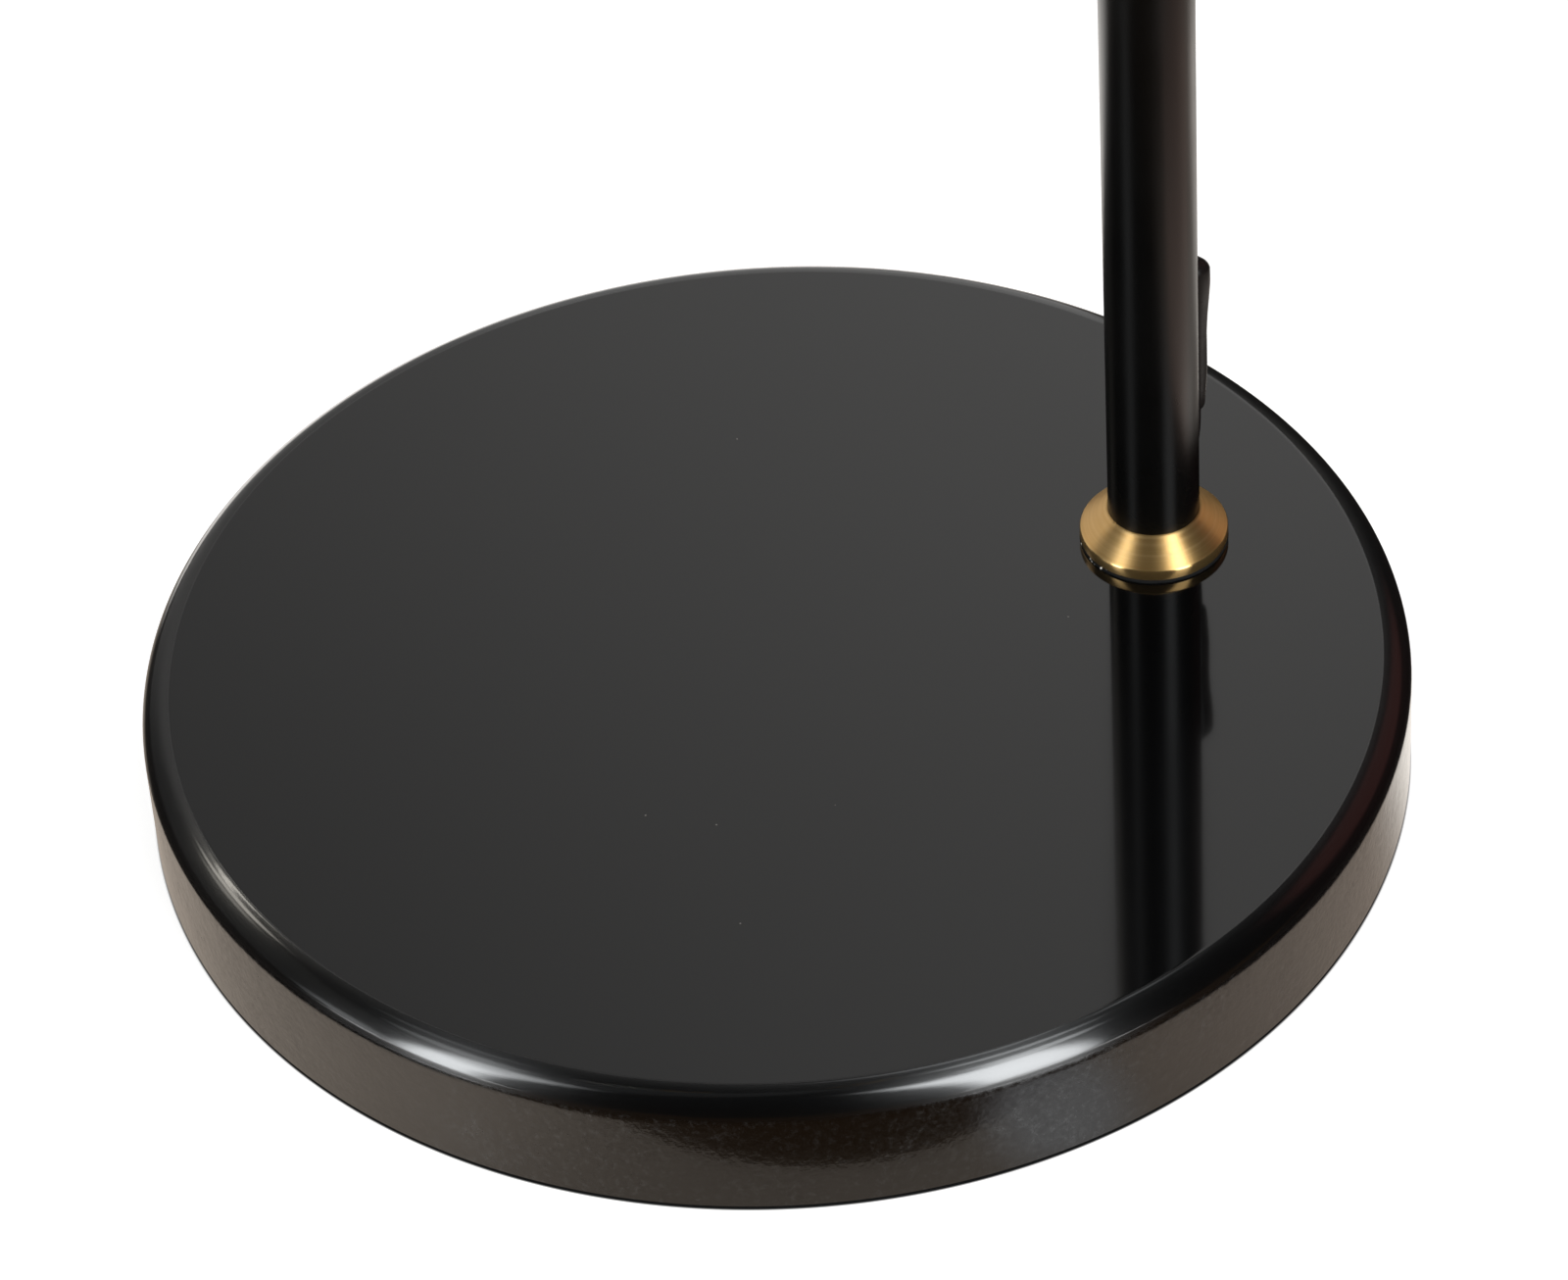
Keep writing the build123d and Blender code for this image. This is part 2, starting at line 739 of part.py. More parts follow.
with BuildPart() as head_cap_nut:
    with BuildSketch(across(head_pivot_x, head_cheek_out, elbow_z)):
        RegularPolygon(head_nut_flats / 2, 6, major_radius=False)
    extrude(amount=head_nut_t)
    with BuildSketch(across(head_pivot_x, head_cheek_out + head_nut_t, elbow_z)):
        Circle(head_dome_r)
    extrude(amount=head_dome_h)
    fillet(head_cap_nut.edges().sort_by(Axis.Y)[-1], 2 * head_dome_h / 3)
    with BuildSketch(across(head_pivot_x, head_cheek_out, elbow_z)):
        Circle(head_pin_r + press)
    extrude(amount=head_nut_t, mode=Mode.SUBTRACT)
keep(head_cap_nut, "head_cap_nut")

with BuildPart() as head_washers:
    for side_y in (-head_cheek_in + running, head_tongue_t / 2 + running):
        with BuildSketch(across(head_pivot_x, side_y, elbow_z)):
            Circle(head_r - running)
            Circle(head_pin_r + running, mode=Mode.SUBTRACT)
        extrude(amount=head_washer_t)
keep(head_washers, "head_washers")

# ---------------------------------------------------------------- head: knuckle, socket, bulb, shade
with BuildPart() as head_tongue:
    with BuildSketch(across(head_pivot_x, -head_tongue_t / 2, elbow_z)):
        Circle(head_r)
        with Locations((cap_back_out / 2, 0)):
            Rectangle(cap_back_out, 2 * head_neck_half)
    extrude(amount=head_tongue_t)
    with BuildSketch(along_arm(cap_x)):
        Circle(stub_r - running)
    extrude(amount=stub_l)
    with BuildSketch(along_arm(head_pivot_x)):
        Circle(pin_bore_r)
    extrude(amount=cap_back_out + stub_l, mode=Mode.SUBTRACT)
    with BuildSketch(across(head_pivot_x, -head_tongue_t / 2, elbow_z)):
        Circle(head_pin_r + running)
    extrude(amount=head_tongue_t, mode=Mode.SUBTRACT)
keep(head_tongue, "head_tongue")

with BuildPart() as socket_cap:
    with BuildSketch(arm_section):
        with BuildLine():
            Line((cap_x, stub_r), (cap_x, cap_back_r))
            SagittaArc((cap_x, cap_back_r), (shade_x, cap_rim_r), -cap_bow)
            Line((shade_x, cap_rim_r), (shade_x, cap_rim_r - cap_wall))
            SagittaArc(
                (shade_x, cap_rim_r - cap_wall), (cap_x - cap_wall, cap_back_r - cap_wall), cap_bow
            )
            Polyline((cap_x - cap_wall, cap_back_r - cap_wall), (cap_x - cap_wall, stub_r), (cap_x, stub_r))
        make_face()
    revolve(axis=arm_axis)
    with BuildSketch(Plane((switch_x, 0, elbow_z + socket_neck_r))):
        Circle(switch_bush_r + running)
    extrude(amount=socket_neck_r, mode=Mode.SUBTRACT)
keep(socket_cap, "socket_cap")

with BuildPart() as cap_nut:
    with BuildSketch(along_arm(cap_x - cap_wall)):
        RegularPolygon(tongue_nut_flats / 2, 6, major_radius=False)
        Circle(stub_r, mode=Mode.SUBTRACT)
    extrude(amount=tongue_nut_t)
keep(cap_nut, "cap_nut")

with BuildPart() as socket_shell:
    with BuildSketch(along_arm(socket_x)):
        Circle(socket_neck_r)
    extrude(amount=socket_l)
    with BuildSketch(along_arm(shade_x + socket_shoulder_t)):
        Circle(cap_rim_r - cap_wall - socket_shoulder_gap)
    extrude(amount=socket_shoulder_t)
    with BuildSketch(along_arm(shade_x)):
        Circle(socket_r)
    extrude(amount=shade_x - socket_end_x)
    with BuildSketch(along_arm(bulb_x)):
        Circle(socket_bore_r)
    extrude(amount=socket_bore_l, mode=Mode.SUBTRACT)
    with BuildSketch(Plane((switch_x, 0, elbow_z + socket_neck_r - switch_shaft_in))):
        Circle(switch_shaft_r + running)
    extrude(amount=switch_shaft_in, mode=Mode.SUBTRACT)
keep(socket_shell, "socket_shell")

with BuildPart() as shade_ring:
    with BuildSketch(along_arm(shade_x - shade_wall - press)):
        Circle(ring_r)
        Circle(socket_r + running, mode=Mode.SUBTRACT)
        with PolarLocations(ring_r, ring_notches):
            Circle(ring_notch_r, mode=Mode.SUBTRACT)
    extrude(amount=ring_t)
keep(shade_ring, "shade_ring")


def shade_form(radius, back_x, low_z):
    """Half a capsule along the arm's axis over a straight skirt, cut flat at its back."""
    middle = (shade_back_x + shade_front_x) / 2
    with BuildPart() as form:
        with BuildSketch(Plane.XY.offset(low_z)):
            with Locations((middle, 0)):
                SlotCenterToCenter(shade_straight, 2 * radius)
        extrude(amount=elbow_z - low_z)
        with BuildSketch(Plane.XY.offset(elbow_z)) as half:
            with Locations((middle, 0)):
                SlotCenterToCenter(shade_straight, 2 * radius)
            with Locations((middle, -radius)):
                Rectangle(2 * shade_straight + 2 * radius, 2 * radius, mode=Mode.SUBTRACT)
        revolve(half.sketch, axis=arm_axis, revolution_arc=180)
        split(bisect_by=Plane(origin=(back_x, 0, 0), z_dir=(-1, 0, 0)))
    return form.part


def rim_outline(radius, back_x):
    """Level outline of the shade at one distance from its axis."""
    with BuildSketch(Plane.XY.offset(rim_z)) as outline:
        with Locations(((shade_back_x + shade_front_x) / 2, 0)):
            SlotCenterToCenter(shade_straight, 2 * radius)
        with Locations((back_x + 2 * radius, 0)):
            Rectangle(4 * radius, 4 * radius, mode=Mode.SUBTRACT)
    return outline.sketch


rim_z = elbow_z - shade_skirt
shade_outside = shade_form(shade_r, shade_x, rim_z)
shade_inside = shade_form(shade_r - shade_wall, shade_x - shade_wall, rim_z - shade_wall)
rim_outside = rim_outline(shade_r + bead_r, shade_x + bead_r)
rim_inside = rim_outline(shade_r - shade_wall, shade_x - shade_wall)

with BuildPart() as shade:
    add(shade_outside)
    add(shade_inside, mode=Mode.SUBTRACT)
    extrude(rim_outside, amount=2 * bead_r)
    extrude(rim_inside, amount=2 * bead_r, mode=Mode.SUBTRACT)
    bead_edges = shade.edges().filter_by(lambda e: abs(e.center().Z - rim_z) < 0.01)
    fillet(bead_edges.filter_by(lambda e: e.length > shade_flat_r), bead_edge_r)
    with BuildSketch(along_arm(shade_x + shade_wall)):
        Circle(socket_r + drill)
    extrude(amount=3 * shade_wall, mode=Mode.SUBTRACT)
    with BuildSketch(Plane.XY.offset(elbow_z + shade_r + shade_wall)):
        with Locations(((shade_back_x + shade_front_x) / 2, 0)):
            with GridLocations(vent_pitch, 0, vent_count, 1):
                SlotOverall(*vent_size, rotation=90)
    extrude(amount=-shade_r / 4, mode=Mode.SUBTRACT)
keep(shade, "shade")

bulb_thread = [
    (bulb_x - thread_start - step * thread_pitch / 2, bulb_cap_r - (step % 2) * thread_depth)
    for step in range(2 * thread_turns + 1)
]

with BuildPart() as bulb_cap:
    turned(
        [
            (bulb_x, 0),
            (bulb_x, bulb_contact_r),
            (bulb_x - thread_start / 2, bulb_contact_r),
            *bulb_thread,
            (glass_x, bulb_cap_r - thread_depth),
            (glass_x, 0),
        ],
        arm_section,
        arm_axis,
    )
keep(bulb_cap, "bulb_cap")


with BuildPart() as bulb_glass:
    with BuildSketch(arm_section):
        with BuildLine():
            shoulder_x = glass_x - bulb_shoulder
            Line((glass_x, 0), (glass_x, bulb_neck_r))
            Line((glass_x, bulb_neck_r), (shoulder_x, bulb_r))
            Line((shoulder_x, bulb_r), (glass_x - bulb_l + bulb_r, bulb_r))
            CenterArc((glass_x - bulb_l + bulb_r, 0), bulb_r, 90, 90)
            Line((glass_x - bulb_l, 0), (glass_x, 0))
        make_face()
    revolve(axis=arm_axis)
    offset(amount=-bulb_glass_t, openings=bulb_glass.faces().sort_by(Axis.X)[-1])
keep(bulb_glass, "bulb_glass")

# ---------------------------------------------------------------- switch on the socket cap
switch_bush_z = elbow_z + socket_neck_r
switch_knob_z = switch_bush_z + switch_bush_l + switch_knob_gap

with BuildPart() as switch_bush:
    with BuildSketch(Plane((switch_x, 0, switch_bush_z))):
        Circle(switch_bush_r)
        Circle(switch_shaft_r + running, mode=Mode.SUBTRACT)
    extrude(amount=switch_bush_l)
keep(switch_bush, "switch_bush")

with BuildPart() as switch_shaft:
    with BuildSketch(Plane((switch_x, 0, switch_bush_z - switch_shaft_in + running))):
        Circle(switch_shaft_r)
    extrude(amount=switch_knob_z + switch_knob_h / 2 - switch_bush_z + switch_shaft_in - running)
keep(switch_shaft, "switch_shaft")

with BuildPart() as switch_knob:
    with BuildSketch(Plane((switch_x, 0, switch_knob_z))):
        Circle(switch_knob_r)
    extrude(amount=switch_knob_h)
    chamfer(switch_knob.edges(), knob_edge)
    knurl(Plane((switch_x, 0, switch_knob_z)), switch_knob_r, switch_knob_h, switch_knob_teeth)
    with BuildSketch(Plane((switch_x, 0, switch_knob_z))):
        Circle(switch_shaft_r + press)
    extrude(amount=switch_knob_h / 2, mode=Mode.SUBTRACT)
keep(switch_knob, "switch_knob")

# ---------------------------------------------------------------- flex, its coil and its plug
# Twin flex, drawn as a round lead of the same cross-section.
flex_area = flex_t * (flex_w - flex_t) + pi * flex_t**2 / 4
flex_r = sqrt(flex_area / pi)

# By hand: out of the sleeve, over the foot's back edge, then along the floor to the coil.
flex_route = (
    (95.6, 5.4, 55.9),
    (95.6, 5.4, 46.0),
    (95.0, 11.5, 37.8),
    (97.0, 21.5, 32.9),
    (101.9, 36.3, 32.4),
    (108.0, 52.2, 35.6),
    (115.4, 70.7, 34.4),
    (120.7, 82.6, 22.0),
    (125.1, 91.6, 8.8),
    (131.2, 104.2, 2.9),
    (139.1, 121.5, 2.3),
    (151.3, 151.1, 2.2),
    (166.0, 188.3, 2.2),
    (179.0, 215.4, 2.2),
    (186.9, 234.3, 2.2),
)
run_share = 0.45


def corner_radius(before, corner, after):
    """Largest tangent arc at a corner of the route, from its shorter run and its turn."""
    coming = Vector(*corner) - Vector(*before)
    going = Vector(*after) - Vector(*corner)
    half_turn = radians(coming.get_angle(going)) / 2
    return run_share * min(coming.length, going.length) / tan(half_turn)


flex_radii = [corner_radius(*flex_route[k : k + 3]) for k in range(len(flex_route) - 2)]

with BuildPart() as power_cord:
    with BuildLine() as flex_line:
        FilletPolyline(*flex_route, radius=flex_radii)
    flex_path = flex_line.wires()[0]
    with BuildSketch(Plane(origin=flex_path @ 0, z_dir=flex_path % 0)):
        Circle(flex_r)
    sweep(path=flex_path)
print("flex arc radii", [round(r, 1) for r in flex_radii])
print("flex run", round(flex_path.length, 1), "volume by length", round(flex_path.length * flex_area, 1))
keep(power_cord, "power_cord")

coil_turns = (flex_length - flex_path.length) / (2 * pi * coil_mid_r)
coil_layers = ceil(coil_turns / coil_columns)
coil_in_r = coil_mid_r - coil_columns * flex_w / 2 - coil_slack
coil_out_r = coil_mid_r + coil_columns * flex_w / 2 + coil_slack
coil_h = coil_layers * flex_t + coil_slack

with BuildPart() as cord_coil:
    with BuildSketch():
        with Locations(coil_centre):
            Circle(coil_out_r)
            Circle(coil_in_r, mode=Mode.SUBTRACT)
    extrude(amount=coil_h)
    fillet(cord_coil.edges().filter_by(GeomType.CIRCLE), flex_t / 2)
keep(cord_coil, "cord_coil")


plug_ahead = Vector(cos(radians(plug_angle)), sin(radians(plug_angle)), 0)
plug_left = Vector(-sin(radians(plug_angle)), cos(radians(plug_angle)), 0)


def plug_plane(along):
    """Upright plane across the plug, which lies on the coil, facing its blades."""
    middle = Vector(*coil_centre, coil_h + plug_body[2] / 2) - plug_left * plug_chord
    return Plane(origin=middle + plug_ahead * along, x_dir=plug_left, z_dir=plug_ahead)


with BuildPart() as plug_housing:
    with BuildSketch(plug_plane(plug_start)):
        RectangleRounded(*plug_neck, plug_corner_r)
    with BuildSketch(plug_plane(plug_start + plug_shoulder)):
        RectangleRounded(*plug_body[1:], plug_corner_r)
    with BuildSketch(plug_plane(plug_start + plug_body[0])):
        RectangleRounded(*plug_body[1:], plug_corner_r)
    loft(ruled=True)
    with BuildSketch(plug_plane(plug_start - plug_tail)):
        SlotOverall(flex_w + 2 * plug_skin, flex_t + 2 * plug_skin)
    with BuildSketch(plug_plane(plug_start)):
        SlotOverall(2 * plug_tail_r, 2 * plug_tail_r - flex_t)
    loft()
keep(plug_housing, "plug_housing")

with BuildPart() as plug_blades:
    for side in (-blade_pitch / 2, blade_pitch / 2):
        with BuildSketch(plug_plane(plug_start + plug_body[0])):
            with Locations((side, 0)):
                Rectangle(blade[2], blade[1])
        extrude(amount=blade[0])
        hole_at = plug_plane(plug_start + plug_body[0] + blade_hole_out)
        with BuildSketch(Plane(origin=hole_at.origin, x_dir=hole_at.z_dir, z_dir=hole_at.x_dir)):
            Circle(blade_hole_r)
        extrude(amount=plug_body[1] / 2, both=True, mode=Mode.SUBTRACT)
keep(plug_blades, "plug_blades")
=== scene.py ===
"""Pharmacy floor lamp: the finishes, the fine pieces and the studio round the solid model.

Metres, +Z up, in the model's own frame: the foot's centre is the origin, the stem stands on +X
and the arm reaches back over the foot.
"""
import bmesh
import bpy
import json
import math
from mathutils import Euler, Matrix, Vector

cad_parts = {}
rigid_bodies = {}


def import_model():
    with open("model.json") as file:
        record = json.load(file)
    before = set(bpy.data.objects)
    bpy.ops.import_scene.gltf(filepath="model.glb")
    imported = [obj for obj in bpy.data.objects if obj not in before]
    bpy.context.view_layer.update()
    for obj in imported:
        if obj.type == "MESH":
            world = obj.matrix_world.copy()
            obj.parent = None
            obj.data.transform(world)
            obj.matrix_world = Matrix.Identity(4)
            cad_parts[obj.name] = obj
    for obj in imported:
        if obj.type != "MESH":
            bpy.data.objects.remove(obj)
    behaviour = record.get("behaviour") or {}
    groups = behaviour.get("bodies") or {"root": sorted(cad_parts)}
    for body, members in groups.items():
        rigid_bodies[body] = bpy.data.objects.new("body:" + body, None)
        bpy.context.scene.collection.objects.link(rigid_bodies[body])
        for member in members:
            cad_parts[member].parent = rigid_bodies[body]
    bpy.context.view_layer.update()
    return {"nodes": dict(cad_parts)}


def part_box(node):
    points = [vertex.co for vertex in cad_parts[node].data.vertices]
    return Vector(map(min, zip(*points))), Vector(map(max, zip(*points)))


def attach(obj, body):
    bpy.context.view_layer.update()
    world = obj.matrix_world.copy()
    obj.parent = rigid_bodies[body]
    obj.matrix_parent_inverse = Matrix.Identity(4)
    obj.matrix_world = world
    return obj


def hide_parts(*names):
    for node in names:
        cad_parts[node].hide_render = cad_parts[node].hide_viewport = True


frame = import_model()
bpy.ops.object.select_all(action="DESELECT")

MM = 0.001
FULL_TURN = 2 * math.pi

# ------------------------------------------------------------ places read from the frame
foot_low, foot_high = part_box("base_cover")
foot_r = (foot_high.x - foot_low.x) / 2
foot_top = foot_high.z
foot_edge = 6 * MM
flat_r = foot_r - foot_edge
cover_wall = 1.2 * MM
nipple_hole_r = 5.05 * MM
stem_low, stem_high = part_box("lower_stem")
stem_r = (stem_high.y - stem_low.y) / 2
stem_x = (stem_low.x + stem_high.x) / 2
stem_foot = Vector((stem_x, 0, 0))
collar_low, collar_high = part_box("stem_flange")
collar_r = (collar_high.y - collar_low.y) / 2
gasket_low, gasket_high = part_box("flange_gasket")
sleeve_low, sleeve_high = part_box("strain_relief")
knob_low, knob_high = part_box("clamp_knob")
clamp_centre = (stem_x, 0, (knob_low.z + knob_high.z) / 2)
screw_low, screw_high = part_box("head_screw")
head_centre = tuple((low + high) / 2 for low, high in zip(screw_low, screw_high))
coil_low, coil_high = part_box("cord_coil")
arm_low, arm_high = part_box("arm_tube")
arm_z = (arm_low.z + arm_high.z) / 2
shade_low, shade_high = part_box("shade")
shade_r = 48 * MM
shade_half = 50 * MM
shade_mid_x = -314 * MM


# ------------------------------------------------------------ node helpers
def new_material(name, colour, roughness, **sockets):
    """Material with its plain values on the shader's own sockets."""
    material = bpy.data.materials.new(name)
    material.use_nodes = True
    shader = material.node_tree.nodes["Principled BSDF"]
    shader.inputs["Base Color"].default_value = (*colour, 1)
    shader.inputs["Roughness"].default_value = roughness
    for socket, value in sockets.items():
        shader.inputs[socket.replace("_", " ").title().replace("Ior", "IOR")].default_value = value
    return material


def add_node(material, kind, values=None, links=None, **settings):
    """Node with its settings, its socket values and what feeds its sockets."""
    node = material.node_tree.nodes.new(kind)
    for name, value in settings.items():
        setattr(node, name, value)
    for socket, value in (values or {}).items():
        node.inputs[socket].default_value = value
    for socket, source in (links or {}).items():
        material.node_tree.links.new(source, node.inputs[socket])
    return node


def feed(material, socket, source):
    """Link a source to one of the shader's sockets."""
    shader = material.node_tree.nodes["Principled BSDF"]
    material.node_tree.links.new(source, shader.inputs[socket])


def place_on(material, scale=(1, 1, 1), location=(0, 0, 0)):
    """Object coordinates, scaled and shifted for a pattern."""
    where = add_node(material, "ShaderNodeTexCoord").outputs["Object"]
    mapping = add_node(
        material, "ShaderNodeMapping", {"Scale": scale, "Location": location}, {"Vector": where}
    )
    return mapping.outputs["Vector"]


def grain(material, vector, scale, detail=4, roughness=0.55):
    """Fractal noise between 0 and 1."""
    noise = add_node(
        material, "ShaderNodeTexNoise",
        {"Scale": scale, "Detail": detail, "Roughness": roughness}, {"Vector": vector},
    )
    return noise.outputs["Fac"]


def spread(material, source, low, high, out_low, out_high):
    """Carry a range of a pattern onto a range of values, smoothly."""
    node = add_node(
        material, "ShaderNodeMapRange",
        {"From Min": low, "From Max": high, "To Min": out_low, "To Max": out_high},
        {"Value": source}, interpolation_type="SMOOTHSTEP",
    )
    return node.outputs["Result"]


def blend_colours(material, factor, first, second):
    """Mix two plain colours, or two sources, by a factor."""
    node = add_node(material, "ShaderNodeMix", data_type="RGBA")
    material.node_tree.links.new(factor, node.inputs["Factor"])
    for socket, value in (("A", first), ("B", second)):
        target = next(i for i in node.inputs if i.name == socket and i.type == "RGBA")
        if isinstance(value, tuple):
            target.default_value = (*value, 1)
        else:
            material.node_tree.links.new(value, target)
    return next(o for o in node.outputs if o.type == "RGBA")


def maths(material, operation, first, second=None):
    """One arithmetic step on sources or plain numbers."""
    node = add_node(material, "ShaderNodeMath", operation=operation)
    for socket, value in zip(node.inputs, (first, second)):
        if isinstance(value, (int, float)):
            socket.default_value = value
        elif value is not None:
            material.node_tree.links.new(value, socket)
    return node.outputs[0]


def product(material, *sources):
    """Sources and plain numbers multiplied together."""
    result = sources[0]
    for source in sources[1:]:
        result = maths(material, "MULTIPLY", result, source)
    return result


def total(material, *sources):
    """Sources and plain numbers added up."""
    result = sources[0]
    for source in sources[1:]:
        result = maths(material, "ADD", result, source)
    return result


def vector_maths(material, operation, first, second=None):
    """One step on vector sources; the second may be a plain vector."""
    plain = isinstance(second, (tuple, Vector))
    links = {0: first} if plain or second is None else {0: first, 1: second}
    node = add_node(
        material, "ShaderNodeVectorMath", {1: second} if plain else None, links, operation=operation
    )
    return node.outputs["Value" if operation in ("DOT_PRODUCT", "LENGTH") else "Vector"]


def separate(material, place):
    """The X, Y and Z of a place."""
    return add_node(material, "ShaderNodeSeparateXYZ", links={"Vector": place}).outputs


def reach_from(material, place, flat=(1, 1, 0)):
    """Distance of a place from an axis; flat keeps the two directions square to it."""
    return vector_maths(material, "LENGTH", vector_maths(material, "MULTIPLY", place, flat))


def raise_grain(material, height, distance, strength=1.0):
    """Bump from a height pattern."""
    bump = add_node(
        material, "ShaderNodeBump", {"Distance": distance, "Strength": strength}, {"Height": height}
    )
    return bump.outputs["Normal"]


def vary_roughness(material, pattern, low, high):
    """Roughness that follows a noise pattern."""
    feed(material, "Roughness", spread(material, pattern, 0.3, 0.7, low, high))


# ------------------------------------------------------------ finishes
lacquer_black = (0.0016, 0.0016, 0.0017)


def scatter_round(material, axis):
    """Stretch highlights across the fine scratches that run round an axis."""
    round_it = add_node(material, "ShaderNodeTangent", direction_type="RADIAL", axis=axis)
    feed(material, "Tangent", round_it.outputs["Tangent"])


def specks(material, place, scale, share, size):
    """Rare small round specks: 1 on a speck, 0 elsewhere."""
    cells = add_node(material, "ShaderNodeTexVoronoi", {"Scale": scale}, {"Vector": place})
    picked = add_node(material, "ShaderNodeSeparateColor", links={"Color": cells.outputs["Color"]})
    rare = maths(material, "GREATER_THAN", picked.outputs["Red"], 1 - share)
    return maths(material, "MULTIPLY", rare, maths(material, "LESS_THAN", cells.outputs["Distance"], size))


def foot_top_lacquer():
    """Clear-coated gloss black, level and clear, with a little dust in it."""
    paint = new_material(
        "foot_top_lacquer", lacquer_black, 0.07, ior=1.5,
        coat_weight=1.0, coat_roughness=0.05, coat_ior=1.5,
    )
    place = place_on(paint)
    vary_roughness(paint, grain(paint, place, 14, 3), 0.06, 0.1)
    dust = specks(paint, place, 170, 0.05, 0.035)
    level = total(paint, product(paint, grain(paint, place, 110, 2), 0.04), product(paint, dust, 0.5))
    lacquer = raise_grain(paint, level, 0.1 * MM, 0.5)
    feed(paint, "Normal", lacquer)
    feed(paint, "Coat Normal", lacquer)
    feed(paint, "Base Color", blend_colours(paint, dust, lacquer_black, (0.12, 0.11, 0.1)))
    return paint


def foot_edge_lacquer():
    """The same lacquer, wiped round the rounded edge; orange peel and scuffs on the side."""
    paint = new_material(
        "foot_edge_lacquer", lacquer_black, 0.3, ior=1.75, anisotropic=1.0, anisotropic_rotation=0.25,
        coat_weight=1.0, coat_roughness=0.065, coat_ior=1.75,
    )
    place = place_on(paint)
    reach = reach_from(paint, place)
    side = spread(paint, reach, foot_r - 0.3 * MM, foot_r - 0.05 * MM, 0, 1)
    lead = spread(paint, reach, flat_r - 0.7 * MM, flat_r + 0.6 * MM, 0, 1)
    smears = spread(paint, grain(paint, place, 30, 4, 0.6), 0.42, 0.62, 0.4, 1)
    mottle = product(paint, spread(paint, grain(paint, place, 850, 3, 0.6), 0.2, 0.8, 0, 0.2), smears)
    clear = maths(paint, "SUBTRACT", 1.0, product(paint, side, 0.85))
    wiped = total(paint, product(paint, lead, clear, 0.22), 0.08)
    feed(paint, "Roughness", total(paint, wiped, product(paint, side, mottle)))
    scatter_round(paint, "Z")

    peel = total(paint, product(paint, grain(paint, place, 900, 3), 0.5), grain(paint, place, 260, 3))
    pits = product(paint, specks(paint, place, 420, 0.1, 0.16), 0.8)
    on_side = product(paint, maths(paint, "SUBTRACT", peel, pits), side)
    around = grain(paint, place_on(paint, scale=(1, 1, 14)), 160, 2)
    wipes = product(paint, around, product(paint, lead, 0.12))
    lacquer = raise_grain(paint, total(paint, on_side, wipes), 0.12 * MM, 0.7)
    feed(paint, "Normal", lacquer)
    feed(paint, "Coat Normal", lacquer)

    dust = specks(paint, place, 230, 0.05, 0.05)
    scuffed = product(paint, spread(paint, grain(paint, place, 700, 4, 0.65), 0.5, 0.72, 0, 0.38), smears)
    scuffs = blend_colours(paint, product(paint, scuffed, side), lacquer_black, (0.06, 0.06, 0.06))
    feed(paint, "Base Color", blend_colours(paint, dust, scuffs, (0.14, 0.13, 0.115)))
    return paint


def satin_enamel(name, inside=False):
    """Satin black powder coat; the shade is stove white inside."""
    black = (0.0019, 0.0018, 0.0017)
    paint = new_material(name, black, 0.31, ior=1.5, specular_ior_level=0.48)
    place = place_on(paint)
    cloud = grain(paint, place, 30, 3)
    vary_roughness(paint, cloud, 0.27, 0.33)
    feed(paint, "Normal", raise_grain(paint, grain(paint, place, 2600, 2), 0.03 * MM, 0.35))
    if inside:
        x, y, z = separate(paint, place_on(paint, location=(-shade_mid_x, 0, -arm_z)))
        beyond = maths(paint, "SUBTRACT", maths(paint, "ABSOLUTE", x), shade_half)
        offset = add_node(paint, "ShaderNodeCombineXYZ", links={
            "X": maths(paint, "MAXIMUM", beyond, 0.0), "Y": y, "Z": maths(paint, "MAXIMUM", z, 0.0),
        })
        depth = vector_maths(paint, "LENGTH", offset.outputs[0])
        white = maths(paint, "LESS_THAN", depth, shade_r - 0.6 * MM)
        shades = blend_colours(paint, cloud, (0.79, 0.78, 0.74), (0.84, 0.83, 0.8))
        feed(paint, "Base Color", blend_colours(paint, white, black, shades))
    return paint


def turned_brass(name, centre, axis):
    """Lacquered brass, turned: fine lathe lines round its axis."""
    gold, deep = (0.83, 0.555, 0.235), (0.74, 0.46, 0.17)
    metal = new_material(name, gold, 0.42, metallic=0.93, anisotropic=0.85, anisotropic_rotation=0.25)
    flat = {"X": (0, 1, 1), "Y": (1, 0, 1), "Z": (1, 1, 0)}[axis]
    place = place_on(metal, location=tuple(-c for c in centre))
    reach = reach_from(metal, place, flat)
    along = maths(metal, "SUBTRACT", reach, separate(metal, place)[axis])
    lines, tone = (
        add_node(
            metal, "ShaderNodeTexNoise", {"Scale": scale, "Detail": 2}, {"W": along}, noise_dimensions="1D"
        ).outputs["Fac"]
        for scale in (6500, 900)
    )
    scatter_round(metal, axis)
    worn = spread(metal, total(metal, tone, grain(metal, place, 45, 2)), 0.75, 1.25, 0, 1)
    feed(metal, "Normal", raise_grain(metal, lines, 0.003 * MM, 0.5))
    rough = spread(metal, worn, 0, 1, 0.4, 0.48)
    if name == "stem_brass":
        rim = spread(metal, reach, collar_r - 0.3 * MM, collar_r - 0.1 * MM, 1, 0.5)
        rough = product(metal, rough, rim)
    feed(metal, "Roughness", rough)
    feed(metal, "Base Color", blend_colours(metal, worn, deep, gold))
    return metal


def plated_steel():
    """Zinc-plated steel with a faint crystalline bloom."""
    metal = new_material("plated_steel", (0.56, 0.57, 0.58), 0.3, metallic=1.0)
    place = place_on(metal)
    vary_roughness(metal, grain(metal, place, 900, 4), 0.24, 0.42)
    feed(metal, "Normal", raise_grain(metal, grain(metal, place, 2400, 2), 0.01 * MM, 0.5))
    return metal


